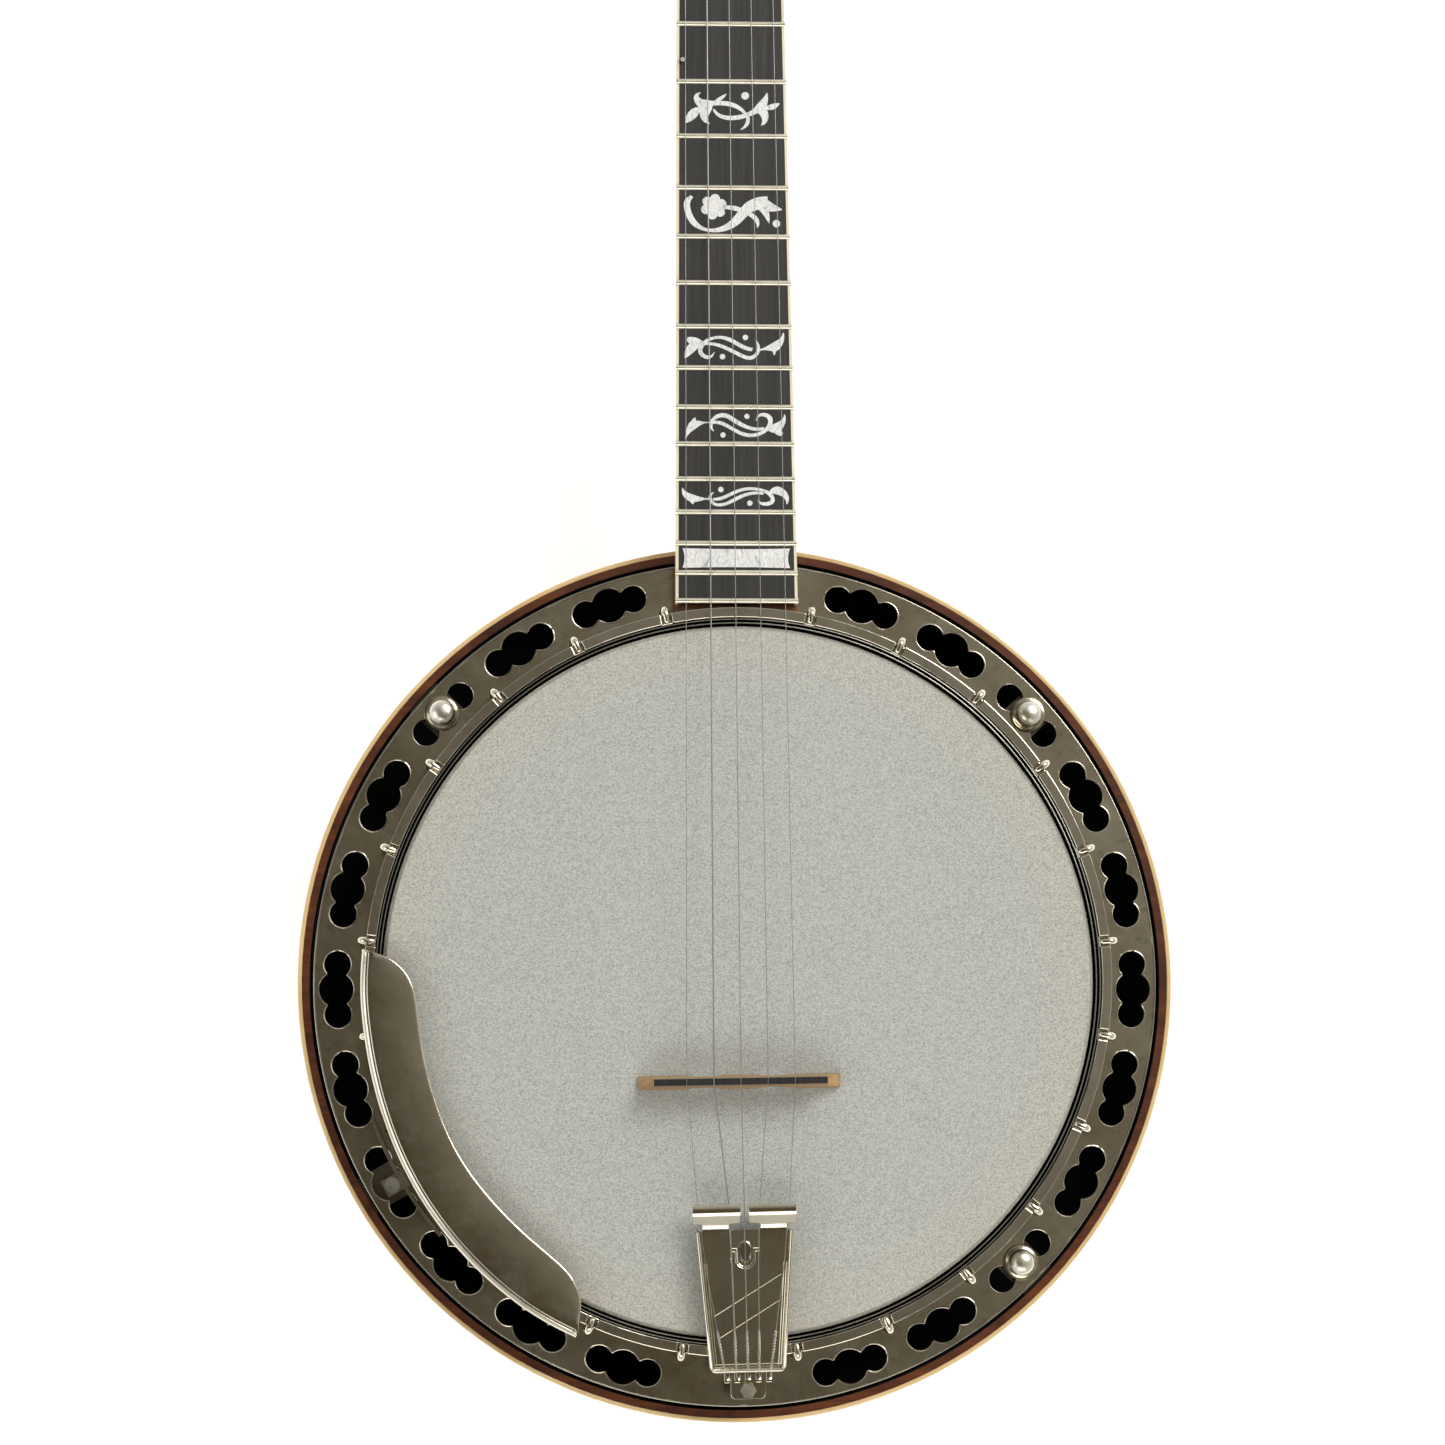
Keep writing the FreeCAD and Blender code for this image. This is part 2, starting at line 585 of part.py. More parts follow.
# Each vine is a list of strokes; a stroke is a list of (across, up, width) along its middle.
VINE_TENTH = [
    [(-10.6, 2.1, 3.4), (-6.5, 2.3, 1.9), (-1.3, 2.1, 1.9), (3.4, 0.2, 1.5), (5.6, -2.0, 1.0)],
    [(-7.2, -0.2, 0.8), (-4.4, -2.9, 1.5), (0.3, -3.7, 1.8), (5.4, -2.7, 1.8), (9.1, -1.0, 2.2),
     (11.7, 0.9, 3.6), (13.4, 3.7, 2.4), (14.2, 6.7, 0.3)],
    [(11.2, 0.4, 3.4), (12.9, -1.7, 3.4), (13.3, -4.2, 2.4), (11.7, -6.7, 0.3)],
    [(13.4, 0.4, 1.0), (16.6, 1.1, 2.3), (19.2, 2.4, 0.3)],
    [(-9.6, 1.8, 3.0), (-12.7, 2.6, 3.2), (-13.9, 4.6, 2.2), (-12.4, 6.6, 0.3)],
    [(-10.1, 2.4, 4.6), (-10.7, -1.6, 4.2), (-10.6, -4.0, 2.6), (-8.8, -6.1, 0.3)],
    [(-12.6, 0.6, 0.7), (-15.1, -1.9, 3.6), (-18.4, -5.8, 0.3)],
    [(-6.9, 2.6, 0.8), (-4.4, 4.2, 1.5), (-2.0, 6.1, 0.3)],
    [(6.4, -2.6, 1.3), (6.3, -5.7, 1.5), (3.6, -8.4, 0.3)],
]
VINE_TWELFTH = [
    [(-16.1, 6.4, 1.3), (-18.0, 4.0, 2.4), (-17.6, -0.2, 2.5), (-15.1, -4.6, 2.3),
     (-10.8, -7.1, 1.3), (-5.7, -7.2, 1.9), (-0.6, -5.1, 3.0), (3.1, -1.6, 3.8),
     (6.4, 1.9, 4.4), (10.2, 3.6, 5.0), (14.1, 3.9, 5.2)],
    [(12.0, 3.4, 5.2), (15.6, 2.0, 3.4), (19.6, 1.2, 0.4)],
    [(11.6, 2.4, 3.6), (13.4, -0.6, 2.4), (14.5, -4.4, 0.3)],
    [(-3.6, 2.0, 1.2), (1.0, 1.6, 1.9), (4.4, 0.4, 1.5)],
    [(5.2, -0.2, 1.0), (7.9, -1.4, 1.8), (9.8, -3.6, 1.6), (9.8, -6.2, 0.3)],
]
VINE_FIFTEENTH = [
    [(-12.6, 1.6, 1.5), (-15.6, 2.2, 3.4), (-18.6, 3.3, 1.4)],
    [(-13.6, 1.6, 2.0), (-16.6, -0.2, 3.6), (-19.4, -4.5, 0.3)],
    [(-7.8, -2.0, 0.3), (-11.2, -3.9, 1.6), (-13.3, -2.0, 1.7), (-12.4, 1.1, 1.6),
     (-9.6, 3.2, 1.2), (-6.0, 4.0, 1.2), (-1.4, 2.9, 1.6), (2.7, 0.6, 1.6), (7.3, -0.9, 1.4)],
    [(-12.0, 1.2, 0.8), (-8.4, 1.3, 1.2), (-4.6, 0.3, 1.4), (-0.9, -1.4, 1.5), (3.2, -3.5, 1.5),
     (6.8, -4.2, 1.5), (9.3, -2.1, 1.3), (9.7, 0.6, 0.9), (8.6, 2.8, 0.3)],
    [(9.2, -1.4, 0.9), (13.0, -0.4, 1.6), (16.1, 0.3, 3.6), (18.4, 2.4, 2.4), (19.6, 6.0, 0.3)],
    [(14.8, 0.4, 2.0), (16.0, -1.6, 1.4), (15.8, -3.1, 0.3)],
]
VINE_SEVENTEENTH = [
    [(-9.0, 1.2, 0.9), (-13.2, 1.0, 1.3), (-16.2, 0.3, 3.4), (-18.3, -2.2, 2.0), (-19.5, -5.7, 0.3)],
    [(-16.9, 0.0, 2.0), (-16.3, 1.8, 1.6), (-15.6, 3.1, 0.3)],
    [(-8.4, -2.3, 0.3), (-9.4, 0.5, 1.3), (-7.5, 3.3, 1.5), (-4.2, 4.1, 1.7), (-0.1, 2.0, 1.8),
     (4.5, -0.5, 1.4), (8.1, -1.4, 1.3), (11.6, -1.0, 1.0)],
    [(-8.6, 1.2, 1.0), (-5.6, 1.0, 1.4), (-3.0, -0.1, 1.4), (0.9, -2.4, 1.4), (6.0, -3.9, 1.4),
     (10.7, -2.8, 1.4), (13.7, 0.1, 1.7), (13.8, 3.1, 1.9), (11.4, 4.4, 1.5), (8.4, 2.0, 0.3)],
    [(13.0, -1.4, 0.9), (16.4, -0.8, 3.6), (18.7, 1.2, 2.4), (19.7, 4.6, 0.3)],
    [(15.6, -0.8, 2.4), (17.4, -2.6, 2.6), (18.6, -3.6, 1.4)],
]
VINE_NINETEENTH = [
    [(-21.0, 3.0, 0.3), (-19.8, 0.4, 2.2), (-16.5, -1.3, 2.9), (-13.4, -1.4, 1.3), (-9.4, -1.5, 0.9)],
    [(-17.6, -1.0, 1.8), (-17.2, -2.6, 1.2), (-16.6, -3.5, 0.3)],
    [(-8.6, 1.2, 0.3), (-10.1, -0.5, 1.1), (-9.1, -2.9, 1.2), (-5.5, -3.7, 1.2), (-1.4, -2.2, 1.4),
     (2.7, -0.1, 1.4), (6.8, 1.0, 1.2), (11.0, 0.8, 0.9)],
    [(-9.0, -1.5, 0.9), (-6.0, -1.2, 1.3), (-3.0, 0.0, 1.3), (0.6, 1.7, 1.3), (5.7, 2.8, 1.2),
     (10.3, 2.2, 1.2), (13.8, 0.3, 1.6), (14.6, -2.0, 1.7), (12.1, -3.3, 1.5), (8.8, -1.7, 0.3)],
    [(13.4, 1.2, 0.9), (17.0, 2.0, 3.2), (19.5, 0.2, 2.4), (20.2, -3.4, 0.3)],
]
DOTS = {10: [(5.5, 5.4, 1.55)], 12: [(17.4, -4.5, 1.5)], 15: [(4.5, 4.0, 1.1), (-4.6, -3.8, 1.1)],
        17: [(4.8, 3.7, 1.05), (-4.7, -3.8, 1.05)], 19: [(-5.8, 2.4, 1.1), (5.6, -3.0, 1.1)]}
INLAY_DEPTH = 1.2


def stroke_shape(points, scale=1.0):
    """A pearl leaf or stem: two smooth edges either side of its middle line."""
    left, right = [], []
    for index, (across, up, width) in enumerate(points):
        before = points[max(index - 1, 0)]
        after = points[min(index + 1, len(points) - 1)]
        run = Vector(after[0] - before[0], after[1] - before[1], 0).normalize()
        side = Vector(-run.y, run.x, 0) * (width * scale / 2)
        middle = Vector(across * scale, up * scale, 0)
        left.append(middle + side)
        right.append(middle - side)
    edges = []
    for chain in (left, right[::-1]):
        curve = Part.BSplineCurve()
        curve.interpolate(chain)
        edges.append(curve.toShape())
    edges.insert(1, Part.LineSegment(left[-1], right[-1]).toShape())
    edges.append(Part.LineSegment(right[0], left[0]).toShape())
    return Part.Face(Part.Wire(edges)).extrude(Vector(0, 0, -INLAY_DEPTH))


def flower_shapes():
    """Six petals round a separate centre."""
    petals = []
    for index in range(6):
        turn = math.radians(60 * index + 20)
        middle = Vector(3.3 * math.cos(turn), 3.3 * math.sin(turn), -INLAY_DEPTH)
        petals.append(Part.makeCylinder(1.95, INLAY_DEPTH, middle))
    centre = Part.makeCylinder(1.7, INLAY_DEPTH, Vector(0, 0, -INLAY_DEPTH))
    core = Part.makeCylinder(2.4, INLAY_DEPTH, Vector(0, 0, -INLAY_DEPTH))
    return [fused(petals + [core]).cut(centre), centre]


def banner_shape():
    """A plain plate with hollow ends in the space above the twenty-first fret."""
    half, tall, waist = 21.2, 3.9, 0.8
    corners = [Vector(-half, -tall, 0), Vector(half, -tall, 0),
               Vector(half, tall, 0), Vector(-half, tall, 0)]
    middles = [Vector(0, -tall + waist * 0.4, 0), Vector(half - waist, 0, 0),
               Vector(0, tall - waist * 0.4, 0),
               Vector(waist - half, 0, 0)]
    edges = [Part.Arc(corners[k], middles[k], corners[(k + 1) % 4]).toShape() for k in range(4)]
    return Part.Face(Part.Wire(edges)).extrude(Vector(0, 0, -INLAY_DEPTH))


def space_middle(number):
    return (fret_distance(number - 1) + fret_distance(number)) / 2


def centre_line(distance):
    return (right_edge(distance) - left_edge(distance)) / 2


def inlay_shapes():
    """All the pearl set into the fingerboard, in the neck's frame."""
    plan = [(1, VINE_FIFTEENTH, 0.66, 3), (3, VINE_SEVENTEENTH, 0.68, 0),
            (5, VINE_NINETEENTH, 0.72, 0), (7, VINE_FIFTEENTH, 0.92, 0),
            (10, VINE_TENTH, 1.0, 10), (12, VINE_TWELFTH, 1.0, 12), (15, VINE_FIFTEENTH, 1.0, 15),
            (17, VINE_SEVENTEENTH, 1.0, 17), (19, VINE_NINETEENTH, 1.0, 19)]
    pieces = []
    for fret, vine, scale, dots in plan:
        distance = space_middle(fret)
        where = Placement(Vector(centre_line(distance), -distance, 0), Rotation())
        pieces.append(placed(fused([stroke_shape(points, scale) for points in vine]), where))
        for across, up, radius in DOTS.get(dots, []):
            dot = Part.makeCylinder(radius, INLAY_DEPTH, Vector(across, up, -INLAY_DEPTH))
            pieces.append(placed(dot, where))
        if fret == 12:
            at = Placement(Vector(-7.5, 2.2, 0), Rotation())
            for shape in flower_shapes():
                pieces.append(placed(placed(shape, at), where))
    distance = space_middle(21)
    banner_at = Placement(Vector(centre_line(distance), -distance, 0), Rotation())
    pieces.append(placed(banner_shape(), banner_at))
    return pieces


def peghead_outline():
    """Half of the peghead's side, from the nut to the crown, as (half width, along)."""
    return [(16.5, 0), (20, 10), (33, 24), (37.5, 44), (34.5, 76), (33.5, 100), (37, 128),
            (41, 150), (37, 168), (22, 178), (10, 184)]


def peghead_shape(low, high):
    side = peghead_outline()
    right = [Vector(x, y, low) for x, y in side]
    left = [Vector(-x, y, low) for x, y in side]
    curve_right = Part.BSplineCurve()
    curve_right.interpolate(right)
    curve_left = Part.BSplineCurve()
    curve_left.interpolate(left[::-1])
    crown = Part.Arc(right[-1], Vector(0, size.peghead_length + 2, low), left[-1]).toShape()
    base = Part.LineSegment(left[0], right[0]).toShape()
    face = Part.Face(Part.Wire([curve_right.toShape(), crown, curve_left.toShape(), base]))
    return face.extrude(Vector(0, 0, high - low))


def neck_section(distance, depth, bottom_half=None):
    """The back of the neck at one station: flat under the board, round below."""
    left, right = -left_edge(distance), right_edge(distance)
    top = -size.board_depth
    middle = (left + right) / 2
    half = (right - left) / 2
    low = top - depth
    narrow = bottom_half if bottom_half else half * 0.62
    points = [Vector(right, -distance, top), Vector(right - half * 0.03, -distance, top - depth * 0.22),
              Vector(middle + narrow, -distance, top - depth * 0.78), Vector(middle, -distance, low),
              Vector(middle - narrow, -distance, top - depth * 0.78),
              Vector(left + half * 0.03, -distance, top - depth * 0.22), Vector(left, -distance, top)]
    curve = Part.BSplineCurve()
    curve.interpolate(points)
    flat = Part.LineSegment(points[-1], points[0]).toShape()
    return Part.Wire([curve.toShape(), flat])


PEG_PLACES = [(side * size.peg_spread, along) for along in (size.peg_low, size.peg_high)
              for side in (-1, 1)]
FIFTH_PEG = 148.0


def make_neck():
    upper = Part.makeLoft([neck_section(-2, 13.0), neck_section(70, 14.2),
                           neck_section(size.step_start, 15.2)],
                          True, False)
    lower = Part.makeLoft([neck_section(size.step_end, 15.6), neck_section(260, 17.0),
                           neck_section(340, 18.6),
                           neck_section(400, 20.0)], True, False)
    shoulder = Part.makeLoft([neck_section(size.step_start, 15.2), neck_section(size.step_end, 15.6)],
                             True, True)
    heel = Part.makeLoft([neck_section(400, 20.0), neck_section(430, 24.0, 13.0),
                          neck_section(448, 33.0, 13.0),
                          neck_section(462, 46.0, 13.5), neck_section(476, 56.0, 14.0),
                          neck_section(506, 60.0, 14.5)], True, False)
    wood = fused([upper, shoulder, lower, heel])
    to_neck = NECK.inverse().multiply(PEGHEAD)
    slab = placed(peghead_shape(-size.peghead_depth - size.veneer, -size.veneer), to_neck)
    volute = Part.makeLoft([neck_section(14, 15.0), neck_section(-2, 13.0)], True, True)
    throat = Part.makeBox(29, 20, 15, Vector(-15, -4, -21.3))
    wood = wood.fuse(slab).fuse(volute).fuse(throat.common(placed(Part.makeBox(
        80, 60, 40, Vector(-40, -20, -40 - size.veneer)), to_neck))).removeSplitter()
    wood = wood.cut(Part.makeBox(120, 800, 60, Vector(-60, -600, -size.board_depth)).cut(
        Part.makeBox(120, 300, 60, Vector(-60, size.nut_width, -size.board_depth))))
    rod_slot = Part.makeBox(TRUSS_SLOT, 455, TRUSS_DEPTH, Vector(-TRUSS_SLOT / 2, -440,
                                                              -size.board_depth - TRUSS_DEPTH))
    wood = wood.cut(rod_slot)
    key_room = Part.makeBox(TRUSS_SLOT + 6, 26, 9, Vector(-TRUSS_SLOT / 2 - 3, 0, -9))
    wood = wood.cut(placed(key_room, to_neck))
    for across, along in PEG_PLACES:
        wood = wood.cut(placed(Part.makeCylinder(PEG_BUSH, 40, Vector(across, along, -30)), to_neck))
    wood = wood.cut(cylinder(FIFTH_SHANK, Vector(-40, -FIFTH_PEG, FIFTH_HEIGHT),
                             Vector(FIFTH_DEPTH - left_edge(FIFTH_PEG) - FIFTH_GAP, -FIFTH_PEG, FIFTH_HEIGHT)))
    wood = wood.cut(placed(Part.makeCylinder(COVER_SCREW, 8, Vector(0, COVER_SCREW_AT, -4.4)), to_neck))
    wood = placed(wood, NECK)
    clear_of_hoop = Part.makeCylinder(size.hoop_outer + 0.3, 60, Vector(0, 0, size.lip_top - 0.2))
    clear_of_rim = Part.makeCylinder(size.heel_gap_start + 0.2, 30, Vector(0, 0, size.flange_under - 0.2))
    seat_on_rim = Part.makeCylinder(size.rim_seat, 70, Vector(0, 0, 0))
    slot = Part.makeBox(200, 200, size.flange_top - size.flange_under + 0.4,
                        Vector(20.3, 100, size.flange_under - 0.2))
    above_ring = Part.makeBox(200, size.heel_gap_start + 0.1, size.flange_top - size.flange_under + 0.4,
                              Vector(-100, 0, size.flange_under - 0.2))
    wood = wood.cut(clear_of_hoop).cut(clear_of_rim).cut(seat_on_rim).cut(slot).cut(above_ring)
    wood = wood.cut(placed(slot, Placement(Vector(-240.6, 0, 0), Rotation())))
    for height in ROD_HEIGHTS:
        wood = wood.cut(cylinder(2.5, Vector(0, 119, height), Vector(0, 158, height)))
    new_feature("neck", max(wood.Solids, key=lambda solid: solid.Volume))


TRUSS_SLOT = 5.0
TRUSS_DEPTH = 8.0
COVER_SCREW = 0.9
COVER_SCREW_AT = 31.0
PEG_BUSH = 4.75
FIFTH_SHANK = 3.0
FIFTH_HEIGHT = -10.5
FIFTH_DEPTH = 11.0
FIFTH_GAP = 0.3
FIFTH_PIP = (-19.8, -164.3)


def make_fingerboard():
    end = size.board_end
    inlays = inlay_shapes()
    board = prism(board_outline(size.binding_width), -size.board_depth, 0)
    for shape in inlays:
        board = board.cut(shape)
    slots = [Part.makeBox(80, 0.6, 1.8, Vector(-40, -fret_distance(n) - 0.3, -1.8))
             for n in range(1, int(size.fret_count) + 1)]
    for slot in slots:
        board = board.cut(slot)
    spikes = spike_shapes()
    for spike in spikes:
        board = board.cut(spike)
    pip = cylinder(1.1, Vector(*FIFTH_PIP, -3), Vector(*FIFTH_PIP, 1.3))
    board = board.cut(pip)
    new_feature("fingerboard", board, NECK)
    new_feature("pearl_inlays", group([s for s in inlays] + [placed(s, NECK.inverse().multiply(PEGHEAD))
                                                            for s in peghead_inlays()]), NECK)
    new_feature("fifth_string_nut", pip, NECK)
    new_feature("capo_spikes", group(spikes), NECK)
    strip = prism(board_outline(0), -size.board_depth, 0).cut(
        prism(board_outline(size.binding_width), -size.board_depth, 0))
    ends = Part.makeBox(200, 20, 20, Vector(-100, -end - 20 + 1e-3, -15))
    strip = strip.cut(ends).cut(pip)
    new_feature("neck_binding", group(strip.Solids), NECK)
    new_feature("frets", group([fret_shape(n) for n in range(1, int(size.fret_count) + 1)]), NECK)


def spike_shapes():
    """Small capo spikes under the fifth string behind the seventh and ninth frets."""
    spikes = []
    for number in (7, 9):
        distance = fret_distance(number) - 8.5
        foot = Vector(-21.4, -distance, -3)
        spikes.append(cylinder(0.45, foot, foot + Vector(0, 0, 4.2)).fuse(
            cylinder(0.9, foot + Vector(0, 0, 4.2), foot + Vector(0, 0, 4.9))).removeSplitter())
    return spikes


def make_nut():
    left, right = -size.edge_nut_left, size.edge_nut_right
    body = new_body("nut")
    sketch = new_sketch(body, "YZ_Plane")
    draw_polygon(sketch, [(0, "-board_depth"), ("nut_width", "-board_depth"),
                          ("nut_width", "nut_rise - 1.2"), ("nut_width / 2", "nut_rise"), (0, "nut_rise")])
    raised = body.newObject("PartDesign::Pad", "raised")
    raised.Profile = sketch
    raised.setExpression("Length", bound("edge_nut_right"))
    raised.Type = "TwoLengths" if "TwoLengths" in raised.getEnumerationsOfProperty("Type") else raised.Type
    raised.setExpression("Length2", bound("edge_nut_left"))
    if "SideType" in raised.PropertiesList:
        raised.SideType = "Two sides"
    body.Tip = raised
    document.recompute()
    body.Placement = NECK
    box = body.Shape.BoundBox
    assert abs(box.XMin - left) < 0.01 and abs(box.XMax - right) < 0.01, "nut width"


def peghead_inlays():
    """A plain diamond and two small dots on the peghead's face."""
    diamond = prism([(0, 58), (9, 82), (0, 106), (-9, 82)], -1.2, 0)
    dots = [Part.makeCylinder(2.2, 1.2, Vector(0, along, -1.2)) for along in (48, 116)]
    return [diamond] + dots


def make_peghead():
    veneer = peghead_shape(-size.veneer, 0)
    for shape in peghead_inlays():
        veneer = veneer.cut(shape)
    for across, along in PEG_PLACES:
        veneer = veneer.cut(Part.makeCylinder(PEG_BUSH, 40, Vector(across, along, -30)))
    veneer = veneer.cut(Part.makeBox(TRUSS_SLOT + 6, 26, 9, Vector(-TRUSS_SLOT / 2 - 3, -0.5, -8)))
    veneer = veneer.cut(Part.makeCylinder(COVER_SCREW, 6, Vector(0, COVER_SCREW_AT, -5)))
    nut_room = placed(Part.makeBox(60, 30, 30, Vector(-30, size.nut_width - 30, -20)),
                      PEGHEAD.inverse().multiply(NECK))
    new_feature("peghead_overlay", veneer.cut(nut_room), PEGHEAD)
    cover = prism([(-8.5, 3.2), (8.5, 3.2), (10.5, 14), (8, 28), (0, 36), (-8, 28), (-10.5, 14)], 0, 1.6)
    cover = cover.cut(Part.makeCylinder(COVER_SCREW, 8, Vector(0, COVER_SCREW_AT, -5)))
    screws = [fused([Part.makeCylinder(1.9, 0.9, Vector(0, COVER_SCREW_AT, 1.6)),
                     Part.makeCylinder(COVER_SCREW, 6.0, Vector(0, COVER_SCREW_AT, -4.4))])]
    new_feature("truss_rod_cover", cover.cut(nut_room), PEGHEAD)
    rod = cylinder(2.3, Vector(0, -438, -size.board_depth - 4), Vector(0, 6, -size.board_depth - 4))
    key_at = Placement(Vector(0, 6, -size.board_depth - 4), Rotation(Vector(1, 0, 0), -90))
    key = placed(hexagon(6, 0, 6), key_at)
    new_feature("truss_rod", rod.fuse(key).removeSplitter(), NECK)
    return screws


def make_tuners():
    """Planetary pegs: button and sun shaft behind, three planets, a post at a quarter speed."""
    deep = -size.peghead_depth - size.veneer
    housings, nuts = [], []
    post_radius, sleeve = 3.15, 4.0
    for number, (across, along) in enumerate(PEG_PLACES, 1):
        at = PEGHEAD.multiply(Placement(Vector(across, along, 0), Rotation()))
        shell = turned_solid([
            (8.4, deep - 12.6), (9.4, deep - 11.4), (9.4, deep - 2), (8.4, deep), (PEG_BUSH, deep),
            (PEG_BUSH, 5.4), (post_radius + 0.05, 5.4), (post_radius + 0.05, deep - 1.0),
            (8.2, deep - 1.0), (8.2, deep - 11.2), (2.55, deep - 11.2), (2.55, deep - 12.6)])
        housings.append(placed(shell, at))
        cap = hexagon(12, 1.4, 4.6, PEG_BUSH)
        washer = Part.makeCylinder(7.2, 1.4).cut(Part.makeCylinder(PEG_BUSH, 1.4))
        nuts.append(placed(washer.fuse(cap).removeSplitter(), at))
        post = turned_solid([
            (0, deep - 1.1), (post_radius, deep - 1.1), (post_radius, 8.0), (2.5, 9.5), (2.5, 15.5),
            (3.1, 17.0), (3.1, 20.0), (2.4, 21.0), (0, 21.0)])
        carrier = turned_solid([(0, deep - 3.2), (7.4, deep - 3.2), (7.4, deep - 1.1), (0, deep - 1.1)])
        pins, planets = [], []
        for k in range(3):
            turn = math.radians(120 * k)
            spot = Vector(4.6 * math.cos(turn), 4.6 * math.sin(turn), 0)
            pins.append(Part.makeCylinder(0.8, 6.4, spot + Vector(0, 0, deep - 9.6)))
            disc = Part.makeCylinder(2.3, 5.6, spot + Vector(0, 0, deep - 9.4))
            planets.append(disc.cut(Part.makeCylinder(0.8, 8, spot + Vector(0, 0, deep - 10))))
        hole = cylinder(0.7, Vector(-5, 0, 12.5), Vector(5, 0, 12.5))
        whole_post = fused([post, carrier] + pins).cut(hole)
        new_feature(f"tuner_{number}_post", whole_post, at)
        new_feature(f"tuner_{number}_planets", group(planets), at)
        sun = Part.makeCylinder(1.9, 6.0, Vector(0, 0, deep - 9.4))
        stem = Part.makeCylinder(2.5, 6.4, Vector(0, 0, deep - 15.8))
        grip = turned_solid([
            (0, deep - 27), (5.5, deep - 27), (8.0, deep - 25.4), (8.6, deep - 22), (7.2, deep - 17.5),
            (4.2, deep - 15.6), (0, deep - 15.6)])
        wings = grip.common(Part.makeBox(30, 11, 60, Vector(-15, -5.5, deep - 50)))
        new_feature(f"tuner_{number}_button", fused([sun, stem, wings]), at)
    new_feature("tuner_housings", group(housings))
    new_feature("tuner_nuts", group(nuts))


def make_fifth_tuner():
    """The fifth string's geared peg, which stands out of the neck's side."""
    at = NECK.multiply(Placement(Vector(-left_edge(FIFTH_PEG) - FIFTH_GAP, -FIFTH_PEG, FIFTH_HEIGHT),
                                 Rotation(Vector(0, 1, 0), -90)))
    shank = Part.makeCylinder(FIFTH_SHANK, FIFTH_DEPTH, Vector(0, 0, -FIFTH_DEPTH))
    plate = Part.makeCylinder(6.4, 1.6, Vector(0, 0, 0))
    web = Part.makeBox(2.4, 6, 11.4, Vector(-6.3, -3, 0))
    shell = turned_solid([
        (7.2, 12.6), (7.2, 22.0), (6.2, 23.4), (2.05, 23.4), (2.05, 22.0), (5.8, 22.0), (5.8, 14.0),
        (2.25, 14.0), (2.25, 10.8), (6.2, 10.8)])
    plate = plate.cut(Part.makeCylinder(2.25, 3, Vector(0, 0, 0.6)))
    frame = fused([shank, plate, web, shell])
    frame = frame.cut(Part.makeCylinder(2.25, 3, Vector(0, 0, -1)))
    new_feature("fifth_tuner_body", frame, at)
    spool = turned_solid([
        (0, 0.2), (2.2, 0.2), (2.2, 2.2), (3.8, 2.2), (3.8, 3.2), (2.0, 3.9), (2.0, 8.7), (3.8, 9.4),
        (3.8, 10.4), (2.2, 10.4), (2.2, 14.4), (5.2, 14.4), (5.2, 16.6), (0, 16.6)])
    new_feature("fifth_tuner_spool", spool.cut(cylinder(0.5, Vector(-5, 0, 6.3), Vector(5, 0, 6.3))), at)
    stem = Part.makeCylinder(2.0, 10.2, Vector(0, 0, 17.0))
    grip = turned_solid([
        (0, 26.0), (3.4, 26.0), (6.6, 28.0), (8.0, 32.0), (7.2, 36.0), (4.8, 38.0), (0, 38.0)])
    wings = grip.common(Part.makeBox(10, 30, 60, Vector(-5, -15, 0)))
    new_feature("fifth_tuner_button", fused([stem, wings]), at)


# ---------------------------------------------------------------- bridge, strings, tailpiece

STRING_RADII = {1: 0.127, 2: 0.14, 3: 0.165, 4: 0.27, 5: 0.127}
HEAD_FACE = size.ring_top + size.head_film


